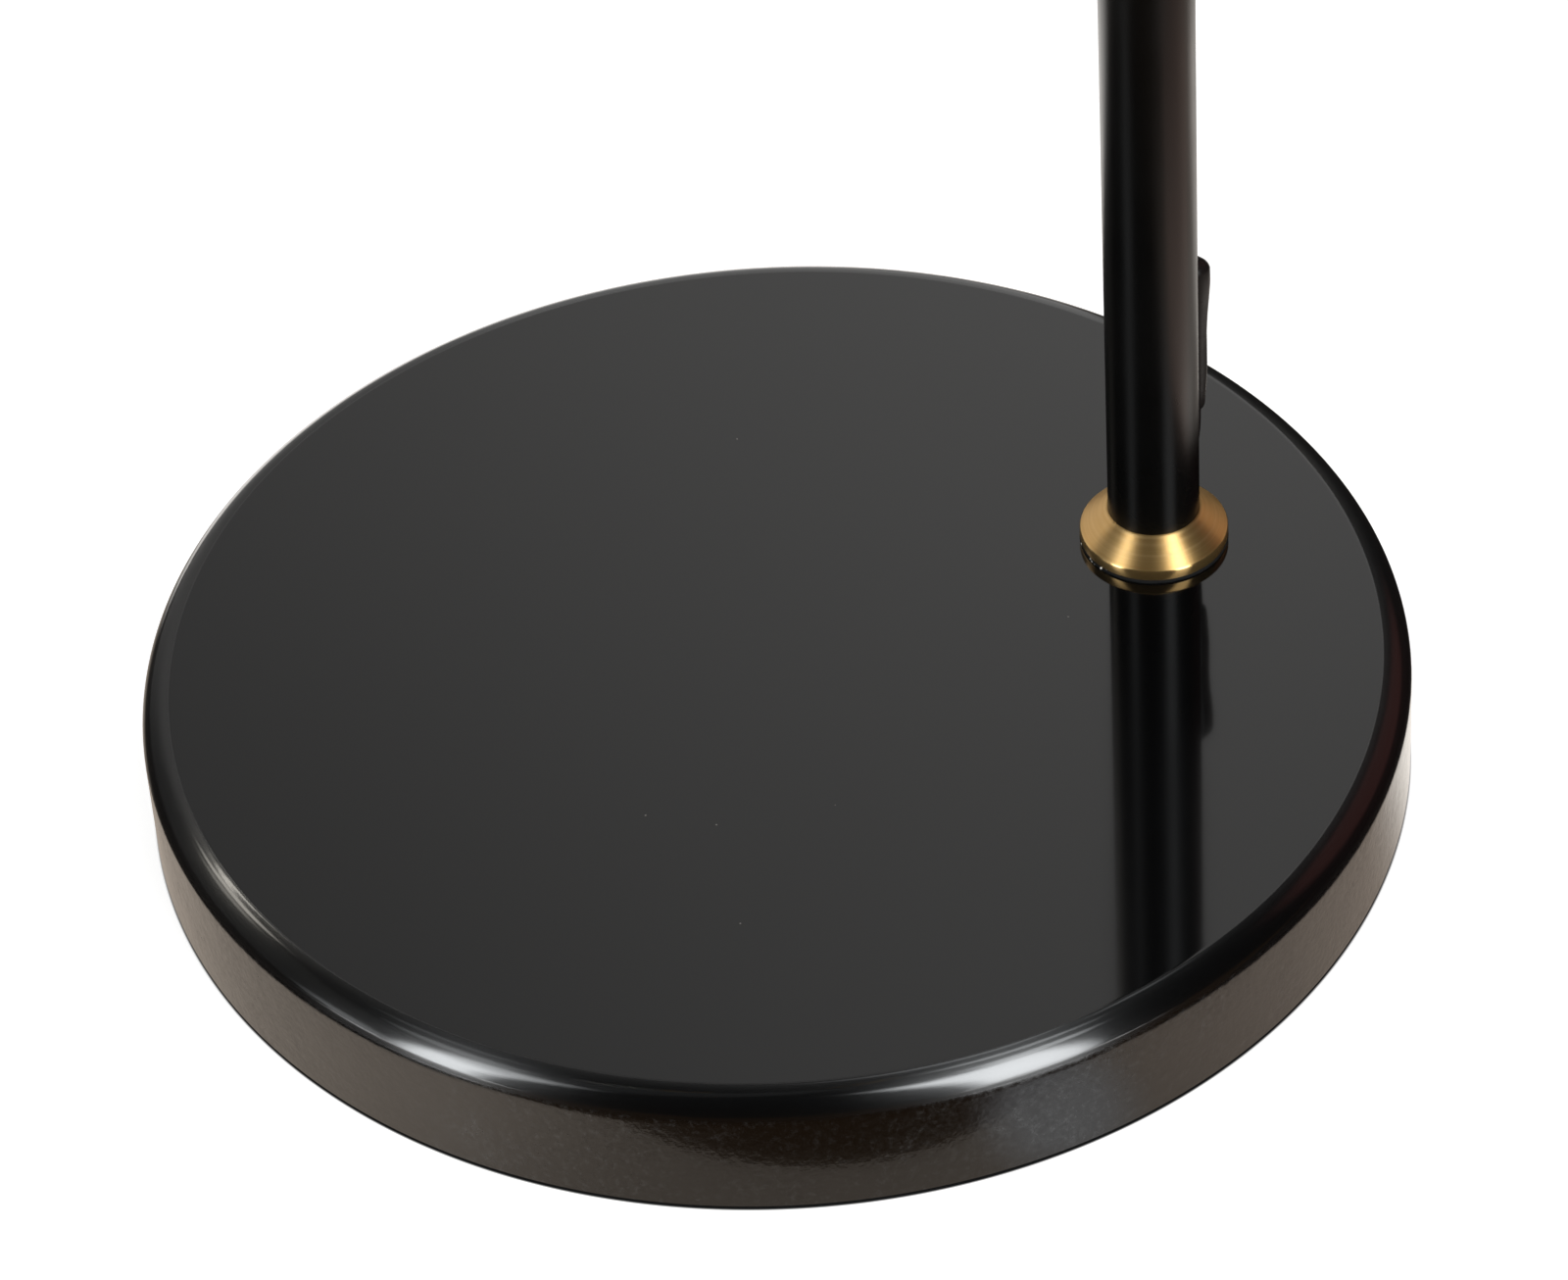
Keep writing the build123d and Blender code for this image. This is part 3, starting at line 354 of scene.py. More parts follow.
def cast_iron():
    """Rough iron casting under a coat of dark primer."""
    iron = new_material("cast_iron", (0.05, 0.05, 0.05), 0.75)
    lumps = grain(iron, place_on(iron), 300, 5)
    feed(iron, "Base Color", blend_colours(iron, lumps, (0.03, 0.03, 0.032), (0.075, 0.07, 0.065)))
    feed(iron, "Normal", raise_grain(iron, lumps, 0.4 * MM, 0.8))
    return iron


def pressed_felt():
    """Dense black felt."""
    felt = new_material("pressed_felt", (0.02, 0.02, 0.02), 0.95, sheen_weight=0.4)
    fibres = grain(felt, place_on(felt, scale=(1, 1, 3)), 1800, 6, 0.7)
    feed(felt, "Base Color", blend_colours(felt, fibres, (0.012, 0.012, 0.012), (0.045, 0.043, 0.04)))
    feed(felt, "Normal", raise_grain(felt, fibres, 0.25 * MM, 0.9))
    return felt


def pressed_fibre():
    """Dark vulcanised fibre with a few bright grains, for the gasket and the washers."""
    fibre = new_material("pressed_fibre", (0.004, 0.004, 0.004), 0.8, specular_ior_level=0.3)
    place = place_on(fibre)
    on_left = maths(fibre, "LESS_THAN", separate(fibre, place)["X"], stem_x - 7 * MM)
    # Bright whitish specks, only left of the stem.
    left_specks = product(fibre, specks(fibre, place, 1300, 0.3, 0.32), on_left)
    feed(fibre, "Base Color", blend_colours(fibre, left_specks, (0.004, 0.004, 0.004), (0.8, 0.77, 0.72)))
    feed(fibre, "Normal", raise_grain(fibre, grain(fibre, place, 1500, 4), 0.2 * MM, 0.8))
    return fibre


def flex_vinyl():
    """Soft black vinyl with an even satin skin."""
    vinyl = new_material("flex_vinyl", (0.0115, 0.009, 0.0085), 0.3, specular_ior_level=0.3)
    place = place_on(vinyl)
    vary_roughness(vinyl, grain(vinyl, place, 240, 3), 0.25, 0.36)
    feed(vinyl, "Normal", raise_grain(vinyl, grain(vinyl, place, 1700, 3), 0.05 * MM, 0.4))
    return vinyl


def woven_strap():
    """Black woven hook-and-loop strap."""
    strap = new_material("woven_strap", (0.016, 0.016, 0.017), 0.85, sheen_weight=0.3)
    fluff = grain(strap, place_on(strap), 2200, 5, 0.7)
    feed(strap, "Base Color", blend_colours(strap, fluff, (0.008, 0.008, 0.009), (0.035, 0.034, 0.036)))
    feed(strap, "Normal", raise_grain(strap, fluff, 0.2 * MM, 0.8))
    return strap


def natural_nylon():
    """Milky turned nylon."""
    nylon = new_material("natural_nylon", (0.72, 0.7, 0.64), 0.42, subsurface_weight=0.2)
    vary_roughness(nylon, grain(nylon, place_on(nylon), 500, 3), 0.36, 0.5)
    return nylon


def moulded_phenolic():
    """Dark moulded lampholder, glossy, with faint mottling."""
    resin = new_material("moulded_phenolic", (0.018, 0.014, 0.011), 0.2, coat_weight=0.3)
    mottle = grain(resin, place_on(resin), 220, 5, 0.65)
    feed(resin, "Base Color", blend_colours(resin, mottle, (0.012, 0.01, 0.009), (0.034, 0.024, 0.017)))
    vary_roughness(resin, mottle, 0.16, 0.28)
    return resin


def bulb_cap_metal():
    """Bright rolled nickel of the bulb's screw cap."""
    metal = new_material("bulb_cap_metal", (0.72, 0.71, 0.69), 0.2, metallic=1.0)
    vary_roughness(metal, grain(metal, place_on(metal), 400, 3), 0.14, 0.3)
    return metal


def opal_glass():
    """White-coated glass of an unlit bulb."""
    glass = new_material(
        "opal_glass", (0.82, 0.81, 0.78), 0.16, subsurface_weight=0.35, coat_weight=0.6
    )
    cloud = grain(glass, place_on(glass), 60, 3)
    feed(glass, "Base Color", blend_colours(glass, cloud, (0.79, 0.78, 0.74), (0.85, 0.84, 0.81)))
    return glass


def bright_blades():
    """Plain stamped brass of the plug's blades."""
    metal = new_material("bright_blades", (0.78, 0.62, 0.36), 0.26, metallic=1.0)
    vary_roughness(metal, grain(metal, place_on(metal, scale=(1, 1, 40)), 90, 3), 0.2, 0.36)
    return metal


finish = {
    "foot_top": foot_top_lacquer(),
    "foot_edge": foot_edge_lacquer(),
    "stem": satin_enamel("stem_enamel"),
    "shade": satin_enamel("shade_enamel", inside=True),
    "steel": plated_steel(),
    "iron": cast_iron(),
    "felt": pressed_felt(),
    "fibre": pressed_fibre(),
    "vinyl": flex_vinyl(),
    "strap": woven_strap(),
    "nylon": natural_nylon(),
    "phenolic": moulded_phenolic(),
    "bulb_cap": bulb_cap_metal(),
    "opal": opal_glass(),
    "blades": bright_blades(),
    "stem_brass": turned_brass("stem_brass", (stem_x, 0, 0), "Z"),
    "arm_brass": turned_brass("arm_brass", (0, 0, arm_z), "X"),
    "clamp_brass": turned_brass("clamp_brass", clamp_centre, "Y"),
    "elbow_brass": turned_brass("elbow_brass", (stem_x, 0, arm_z), "Y"),
    "head_brass": turned_brass("head_brass", head_centre, "Y"),
}

dress = {
    "foot_edge": ["base_cover"],
    "iron": ["base_weight"],
    "felt": ["felt_pad"],
    "fibre": ["flange_gasket", "elbow_washers", "head_washers"],
    "steel": ["foot_plug", "threaded_nipple", "clamp_washer", "lock_washer", "base_nut", "clamp_screw",
              "yoke_clip", "fork_clip", "cap_nut", "switch_shaft"],
    "stem": ["lower_stem", "arm_tube"],
    "vinyl": ["strain_relief", "power_cord", "cord_coil", "plug_housing"],
    "blades": ["plug_blades"],
    "nylon": ["guide_bush", "clamp_pad", "mast_slider"],
    "phenolic": ["socket_shell", "shade_ring"],
    "shade": ["shade"],
    "bulb_cap": ["bulb_cap"],
    "opal": ["bulb_glass"],
    "stem_brass": ["stem_flange", "lock_collar", "mast_tube", "mast_ferrule", "swivel_yoke",
                   "switch_bush", "switch_knob"],
    "arm_brass": ["arm_knuckle", "arm_ferrule", "head_fork", "head_tongue", "socket_cap"],
    "clamp_brass": ["clamp_knob"],
    "elbow_brass": ["elbow_bolt", "elbow_knob"],
    "head_brass": ["head_screw", "head_cap_nut"],
}
for look, names in dress.items():
    for name in names:
        for holder in frame["nodes"][name].material_slots:
            holder.material = finish[look]


# ------------------------------------------------------------ modelling in Blender
def pick(*pieces):
    """Only these pieces selected, and the first of them active."""
    bpy.ops.object.select_all(action="DESELECT")
    for piece in pieces:
        piece.select_set(True)
    bpy.context.view_layer.objects.active = pieces[0]


def open_edit(piece):
    """Only this piece selected, and open in edit mode."""
    pick(piece)
    bpy.ops.object.mode_set(mode="EDIT")


def begin(name):
    """The form just added: named, open in edit mode, and all of it selected."""
    piece = bpy.context.object
    piece.name = piece.data.name = name
    bpy.ops.object.transform_apply(location=True, rotation=True, scale=True)
    open_edit(piece)
    bpy.ops.mesh.select_all(action="SELECT")
    return piece


def set_down(piece, rotation, location):
    """Turn and move a piece, and make that part of its shape."""
    pick(piece)
    piece.rotation_euler = rotation
    piece.location = location
    bpy.ops.object.transform_apply(location=True, rotation=True, scale=True)


def close_up(piece, sharp=35, wall=0.0, outward=-1.0):
    """Merge, turn the faces outward, leave edit mode, give an open skin its wall, and shade smooth
    up to an angle."""
    bpy.ops.mesh.select_all(action="SELECT")
    bpy.ops.mesh.remove_doubles(threshold=1e-6)
    bpy.ops.mesh.normals_make_consistent(inside=False)
    bpy.ops.object.mode_set(mode="OBJECT")
    if wall:
        skin = piece.modifiers.new("wall", "SOLIDIFY")
        skin.thickness = wall
        skin.offset = outward
        skin.use_even_offset = True
        bpy.ops.object.modifier_apply(modifier=skin.name)
    bpy.ops.object.shade_smooth_by_angle(angle=math.radians(sharp))


def draw_up(name, centre, rings, segments=192):
    """Open circle drawn up ring by ring; a ring is (radius, height) or (radius, height, shift in X)."""
    bpy.ops.object.select_all(action="DESELECT")
    radius, height = rings[0][:2]
    x, y = centre
    bpy.ops.mesh.primitive_circle_add(
        vertices=segments, radius=radius, location=(x, y, height), fill_type="NOTHING"
    )
    piece = begin(name)
    for ring in rings[1:]:
        shift = ring[2] if len(ring) > 2 else 0.0
        bpy.ops.mesh.extrude_region_move(TRANSFORM_OT_translate={"value": (0, 0, ring[1] - height)})
        share = ring[0] / radius
        bpy.ops.transform.resize(value=(share, share, 1), center_override=(x, y, ring[1]))
        if shift:
            bpy.ops.transform.translate(value=(shift, 0, 0))
        radius, height = ring[:2]
    return piece


def round_off(radius, height, size, steps):
    """Rings of a quarter round, from the side up on to the top."""
    return [
        (radius - size + size * math.cos(a), height - size + size * math.sin(a))
        for a in (math.pi / 2 * k / steps for k in range(steps + 1))
    ]


def wear(piece, *names):
    """Finishes of a piece, in slot order."""
    for name in names:
        piece.data.materials.append(finish[name])


def spun_foot():
    """Foot cover, spun from sheet: side, rounded edge, level top and the hole under the stem."""
    rings = [(foot_r, foot_low.z - 0.6 * MM), (foot_r, foot_low.z + 0.8 * MM)]
    rings += round_off(foot_r, foot_top, foot_edge, 20)
    rings += [(flat_r - 0.35 * MM, foot_top), (flat_r - 1.2 * MM, foot_top)]
    rings += [(nipple_hole_r, foot_top, stem_x)]
    cover = draw_up("foot_cover", (0, 0), rings, segments=320)
    close_up(cover, sharp=60, wall=cover_wall)
    wear(cover, "foot_edge", "foot_top")
    for face in cover.data.polygons:
        reach = max(math.hypot(*cover.data.vertices[v].co.xy) for v in face.vertices)
        if face.normal.z > 0.9999 and reach < flat_r + 0.05 * MM:
            face.material_index = 1
    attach(cover, "base")
    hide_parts("base_cover")


def turned_collar():
    """Brass collar at the stem's foot: a crisp rim, a bright edge and a straight cone."""
    bore_r = stem_r + 0.05 * MM
    low, high = collar_low.z, collar_high.z
    rim, lip, seat = 2.0 * MM, 0.4 * MM, low + 2.5 * MM
    rings = [(nipple_hole_r, low), (collar_r - 0.5 * MM, low), (collar_r - 0.45 * MM, low - 0.3 * MM)]
    rings += [(collar_r - 0.25 * MM, low - 0.38 * MM), (collar_r - 0.06 * MM, low - 0.3 * MM)]
    rings += [(collar_r, low - 0.1 * MM), (collar_r, low + rim - 0.35 * MM)]
    rings += [(collar_r - 0.06 * MM, low + rim - 0.14 * MM), (collar_r - 0.22 * MM, low + rim + 0.08 * MM)]
    rings += [(collar_r - 0.5 * MM, low + rim + 0.36 * MM), (stem_r + lip + 0.35 * MM, high - 0.3 * MM)]
    rings += [(stem_r + lip + 0.1 * MM, high - 0.08 * MM), (stem_r + lip - 0.12 * MM, high)]
    rings += [(bore_r, high), (bore_r, seat), (nipple_hole_r, seat), (nipple_hole_r, low)]
    collar = draw_up("stem_collar", (stem_x, 0), rings, segments=256)
    close_up(collar, sharp=48)
    wear(collar, "stem_brass")
    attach(collar, "base")
    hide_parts("stem_flange")


def cut_gasket():
    """Fibre gasket pressed out a little past the collar, with a slightly ragged edge."""
    low, high = gasket_low.z, gasket_high.z
    hole_r, out_r = 5.1 * MM, collar_r - 0.3 * MM
    rings = [(hole_r, low), (out_r + 0.35 * MM, low), (out_r + 0.3 * MM, low + 0.25 * MM)]
    rings += [(out_r, high - 0.3 * MM), (out_r - 0.2 * MM, high), (hole_r, high), (hole_r, low)]
    gasket = draw_up("foot_gasket", (stem_x, 0), rings, segments=160)
    bpy.ops.mesh.select_all(action="DESELECT")
    bpy.ops.object.mode_set(mode="OBJECT")
    for vertex in gasket.data.vertices:
        reach = math.hypot(vertex.co.x - stem_x, vertex.co.y)
        vertex.select = reach > collar_r - 0.6 * MM and vertex.co.z > low + 0.1 * MM
    open_edit(gasket)
    bpy.ops.transform.vertex_random(offset=0.16 * MM, uniform=1.0, normal=0.0, seed=5)
    close_up(gasket, sharp=40)
    for vertex in gasket.data.vertices:
        vertex.co.z = min(max(vertex.co.z, low), high)
    wear(gasket, "fibre")
    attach(gasket, "base")
    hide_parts("flange_gasket")


spun_foot()
turned_collar()
cut_gasket()


# ------------------------------------------------------------ flex
flex_w = 5.6 * MM
flex_t = 2.8 * MM
flex_floor = flex_t / 2 + 0.1 * MM

# Points one by one: out of the sleeve, over the foot's back edge, then along the floor to the coil.
flex_route = [
    (0.0956, 0.0054, 0.0559),
    (0.0956, 0.0054, 0.0460),
    (0.0950, 0.0115, 0.0378),
    (0.0970, 0.0215, 0.0325),
    (0.1019, 0.0363, 0.0318),
    (0.1080, 0.0522, 0.0335),
    (0.1154, 0.0707, 0.0340),
    (0.1207, 0.0826, 0.0215),
    (0.1251, 0.0916, 0.0080),
    (0.1312, 0.1042, 0.0022),
    (0.1391, 0.1215, flex_floor),
    (0.1513, 0.1511, flex_floor),
    (0.1660, 0.1883, flex_floor),
    (0.1790, 0.2154, flex_floor),
]

coil_centre = Vector(((coil_low.x + coil_high.x) / 2, (coil_low.y + coil_high.y) / 2, 0))
coil_mid_r = 31 * MM
coil_columns = 3
coil_entry = math.radians(66.5 - 90)
coil_points = 16
coil_turns = 10.58
coil_lift = 6 * MM


def coil_place(turn):
    """A point on the wound flex: each layer crosses the columns, then climbs one thickness."""
    layer, in_layer = divmod(turn, coil_columns)
    column = min(max(in_layer - 0.5, 0), coil_columns - 1)
    if int(layer) % 2:
        column = coil_columns - 1 - column
    radius = coil_mid_r + (coil_columns - 1) / 2 * flex_w - column * flex_w
    climb = min(max(in_layer - (coil_columns - 1) - 0.5, 0), 0.5) / 0.5
    height = flex_floor + (layer + climb) * (flex_t + 0.05 * MM)
    leaving = min(max((turn - coil_turns + 0.3) / 0.3, 0), 1)
    height += coil_lift * leaving**2
    angle = coil_entry + turn * FULL_TURN
    return coil_centre + Vector((radius * math.cos(angle), radius * math.sin(angle), height))


for step in range(int(coil_turns * coil_points) + 1):
    flex_route.append(tuple(coil_place(step / coil_points)))


def smooth_line(points, name, fineness=6):
    """The smooth line that a row of control points gives."""
    curve = bpy.data.curves.new(name, "CURVE")
    curve.dimensions = "3D"
    curve.resolution_u = fineness
    spline = curve.splines.new("NURBS")
    spline.points.add(len(points) - 1)
    for knot, point in zip(spline.points, points):
        knot.co = (*point, 1)
    spline.use_endpoint_u = True
    spline.order_u = 3
    holder = bpy.data.objects.new(name, curve)
    line = bpy.data.meshes.new_from_object(holder)
    places = [vertex.co.copy() for vertex in line.vertices]
    bpy.data.meshes.remove(line)
    bpy.data.curves.remove(curve)
    return places


def twin_section(steps=7):
    """Outline of twin flex: two round cores side by side with a shallow groove between."""
    core = flex_t / 2
    reach = (flex_w - flex_t) / 2
    opening = math.radians(150)
    half = [
        (reach + core * math.cos(a), core * math.sin(a))
        for a in (opening * (2 * k / (2 * steps) - 1) for k in range(2 * steps + 1))
    ]
    return half + [(-x, y) for x, y in reversed(half)]


def twin_flex(name, line, first_side):
    """Twin flex along a line.  Its broad side starts along first_side and soon lies level."""
    turning, low_turning, low = 0.35, 2.4, 16 * MM
    section = twin_section()
    mesh = bpy.data.meshes.new(name)
    sides = []
    side = first_side.normalized()
    for k, place in enumerate(line):
        ahead = (line[min(k + 1, len(line) - 1)] - line[max(k - 1, 0)]).normalized()
        wanted = ahead.cross(Vector((0, 0, 1)))
        if wanted.dot(side) < 0:
            wanted = -wanted
        share = min(1.0, wanted.length) ** 2 * (low_turning if place.z < low else 1)
        side = side * (1 - turning * share) + wanted * turning * share
        side = (side - ahead * side.dot(ahead)).normalized()
        sides.append((side.copy(), ahead.copy()))
    shape = bmesh.new()
    rings = []
    for place, (side, ahead) in zip(line, sides):
        up = ahead.cross(side)
        rings.append([shape.verts.new(place + side * x + up * y) for x, y in section])
    for ring, after in zip(rings, rings[1:]):
        for k in range(len(ring)):
            n = (k + 1) % len(ring)
            shape.faces.new((ring[k], ring[n], after[n], after[k]))
    shape.faces.new(list(reversed(rings[0])))
    shape.faces.new(rings[-1])
    bmesh.ops.recalc_face_normals(shape, faces=shape.faces)
    shape.to_mesh(mesh)
    shape.free()
    piece = bpy.data.objects.new(name, mesh)
    bpy.context.scene.collection.objects.link(piece)
    for face in mesh.polygons:
        face.use_smooth = True
    return piece


plug_low, plug_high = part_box("plug_housing")
plug_heading = math.radians(-23.5)
plug_ahead = Vector((math.cos(plug_heading), math.sin(plug_heading), 0))
plug_left = Vector((-math.sin(plug_heading), math.cos(plug_heading), 0))
plug_axis = coil_centre - plug_left * 22 * MM + Vector((0, 0, 18.6 * MM))
# The plug's end of the flex, from the coil's centre: ahead, left and up, in mm.
for ahead, left, rise in (
    (-22.5, -19.5, 0.2), (-18.5, -21.8, 1.6), (-14, -22, 2.4), (-10, -22, 2.4), (-6, -22, 2.4),
):
    spot = coil_centre + plug_ahead * ahead * MM + plug_left * left * MM
    flex_route.append((spot.x, spot.y, (16.2 + rise) * MM))


def outline_drawn_back(name, width, height, corner, rings, level=0.0):
    """Rounded oblong face drawn back ring by ring along -X; a ring is (along, width, height) and
    grows round its level."""
    along, first_width, first_height = rings[0]
    bpy.ops.object.select_all(action="DESELECT")
    bpy.ops.mesh.primitive_plane_add(size=1, location=(along, 0, 0), rotation=(0, math.pi / 2, 0))
    piece = begin(name)
    bpy.ops.transform.resize(value=(1, width, height), center_override=(along, 0, 0))
    bpy.ops.mesh.bevel(offset=corner, offset_type="OFFSET", segments=6, profile=0.5, affect="VERTICES")
    bpy.ops.transform.resize(
        value=(1, first_width / width, first_height / height), center_override=(along, 0, level)
    )
    before = rings[0]
    for ring in rings[1:]:
        bpy.ops.mesh.extrude_region_move(TRANSFORM_OT_translate={"value": (ring[0] - before[0], 0, 0)})
        bpy.ops.transform.resize(
            value=(1, ring[1] / before[1], ring[2] / before[2]), center_override=(ring[0], 0, level)
        )
        before = ring
    return piece


def moulded_sleeve():
    """Sleeve round the flex: flat by the stem, waisted, domed on top, with its neck into the stem."""
    gap, wide, thick = 0.3 * MM, 7.9 * MM, 6.3 * MM
    tall = sleeve_high.z - sleeve_low.z - 1.3 * MM
    rings = [(0, 5.8, 3.6), (0.3, 6.5, 4.2), (0.9, 6.8, 4.5), (5.5, 7.1, 4.95), (10.3, 7.3, 5.25)]
    rings += [(15, 7.2, 5.3), (19.5, 7.1, 5.3), (24, 7.3, 5.55), (29, 7.7, 6.05), (32, 7.9, 6.3)]
    top, dome, steps = tall / MM, 3.0, 8
    for step in range(1, steps):
        a = math.pi / 2 * step / steps
        inset = dome * (1 - math.cos(a))
        rings.append((top - dome + dome * math.sin(a), 7.9 - 1.7 * inset, 6.3 - inset * 1.2))
    rings = [(-along * MM, w * MM, h * MM) for along, w, h in rings]
    sleeve = outline_drawn_back("flex_sleeve", wide, thick, 2.7 * MM, rings, level=-thick / 2)
    close_up(sleeve, sharp=50)
    neck_rings = [(1.5, -2.6), (2.6, -2.6), (2.9, -2.3), (2.9, -1.6), (2.4, -1.4)]
    neck_rings += [(2.4, 2.2), (1.5, 2.2), (1.5, -2.6)]
    neck = draw_up("sleeve_neck", (0, 0), [(r * MM, z * MM) for r, z in neck_rings], segments=48)
    close_up(neck, sharp=40)
    ahead = Vector((math.cos(sleeve_heading), math.sin(sleeve_heading), 0))
    for piece, out, z in (
        (sleeve, stem_r + gap + thick / 2, sleeve_low.z), (neck, stem_r + gap, sleeve_high.z - 4.5 * MM),
    ):
        place = stem_foot + ahead * out + Vector((0, 0, z))
        set_down(piece, (0, math.pi / 2, sleeve_heading), place)
    pick(sleeve, neck)
    bpy.ops.object.join()
    wear(sleeve, "vinyl")
    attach(sleeve, "base")
    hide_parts("strain_relief")
    return sleeve


def moulded_plug():
    """Plug body: rounded front, straight block, grip ribs down the shoulder, ringed tail."""
    wide, tall = 24 * MM, 14 * MM
    rings = [(32, 21.8, 11.8), (31.9, 22.6, 12.6), (31.5, 23.5, 13.5), (30.8, 24, 14), (28.6, 24, 14)]
    rings += [(28.4, 23.5, 13.5), (27.9, 23.5, 13.5), (27.7, 24, 14), (15.6, 24, 14)]
    for step in range(6):
        top = 15 - 2.1 * step
        share = max((14 - top) / 12, 0)
        w, h = 24 - 7.2 * share, 14 - 2.8 * share
        rings += [(top, w, h), (top - 0.35, w - 1.3, h - 1.3)]
        rings += [(top - 1.0, w - 1.6, h - 1.5), (top - 1.35, w - 0.8, h - 0.5)]
    rings += [(2.6, 16.8, 11.1), (2.2, 15.6, 10), (2, 9.6, 6.6), (1.2, 9.2, 6.3)]
    for step in range(5):
        back = 1.2 - 2.6 * step
        w, h = 9.2 - 0.5 * step, 6.3 - 0.45 * step
        rings += [(back - 1.5, w - 0.3, h - 0.3), (back - 1.7, w - 1.7, h - 1.4)]
        rings += [(back - 2.4, w - 1.8, h - 1.5), (back - 2.6, w - 0.5, h - 0.45)]
    rings += [(-13.2, 6.7, 4.0), (-13.9, 6.5, 3.8), (-14, 6.0, 3.3)]
    rings = [tuple(v * MM for v in ring) for ring in rings]
    shell = outline_drawn_back("plug_shell", wide, tall, 4.2 * MM, rings)
    close_up(shell, sharp=40)
    set_down(shell, (0, 0, plug_heading), plug_axis)
    wear(shell, "vinyl")
    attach(shell, "base")
    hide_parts("plug_housing")
    return shell


def coil_band():
    """Soft strap round the coil's turns, with a tab where it closes on top."""
    across = flex_w * coil_columns + 1.2 * MM
    low, top, wide = 0.7 * MM, 11.9 * MM, 9 * MM
    bpy.ops.object.select_all(action="DESELECT")
    bpy.ops.mesh.primitive_plane_add(size=1, location=(0, 0, 0), rotation=(math.pi / 2, 0, 0))
    band = begin("coil_band")
    bpy.ops.transform.resize(value=(across, 1, top - low), center_override=(0, 0, 0))
    bpy.ops.transform.translate(value=(0, 0, (top + low) / 2))
    bpy.ops.mesh.bevel(offset=2.2 * MM, offset_type="OFFSET", segments=6, profile=0.5, affect="VERTICES")
    bpy.ops.mesh.delete(type="ONLY_FACE")
    bpy.ops.mesh.select_all(action="SELECT")
    bpy.ops.mesh.extrude_region_move(TRANSFORM_OT_translate={"value": (0, wide, 0)})
    bpy.ops.mesh.select_all(action="SELECT")
    bpy.ops.transform.translate(value=(0, -wide / 2, 0))
    close_up(band, sharp=60, wall=0.62 * MM, outward=1.0)
    tab_middle = (1.5 * MM, 0, top + 1.05 * MM)
    bpy.ops.object.select_all(action="DESELECT")
    bpy.ops.mesh.primitive_cube_add(size=1, location=tab_middle)
    tab = begin("band_tab")
    bpy.ops.transform.resize(value=(11 * MM, wide, 0.8 * MM), center_override=tab_middle)
    bpy.ops.mesh.bevel(offset=0.3 * MM, offset_type="OFFSET", segments=3, profile=0.5, affect="EDGES")
    close_up(tab, sharp=40)
    pick(band, tab)
    bpy.ops.object.join()
    edge = band.modifiers.new("edge", "BEVEL")
    edge.width, edge.segments, edge.limit_method = 0.15 * MM, 2, "ANGLE"
    bpy.ops.object.modifier_apply(modifier=edge.name)
    around = math.radians(112)
    outward = Vector((math.cos(around), math.sin(around), 0))
    set_down(band, (0, 0, around), coil_centre + outward * coil_mid_r)
    wear(band, "strap")
    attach(band, "base")
    return band


sleeve_heading = math.radians(27)
flex_sleeve = moulded_sleeve()
plug_shell = moulded_plug()
band = coil_band()

flex_line = smooth_line(flex_route, "flex_line")
flex_side = Vector((-math.sin(sleeve_heading), math.cos(sleeve_heading), 0))
flex = twin_flex("flex", flex_line, flex_side)
flex.data.materials.append(finish["vinyl"])
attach(flex, "base")
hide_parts("power_cord", "cord_coil")


# ------------------------------------------------------------ studio
def direction(azimuth, elevation):
    """Unit vector at a compass azimuth from +X and an elevation, in degrees."""
    a, e = math.radians(azimuth), math.radians(elevation)
    return Vector((math.cos(a) * math.cos(e), math.sin(a) * math.cos(e), math.sin(e)))


softbox_strength = 6.4


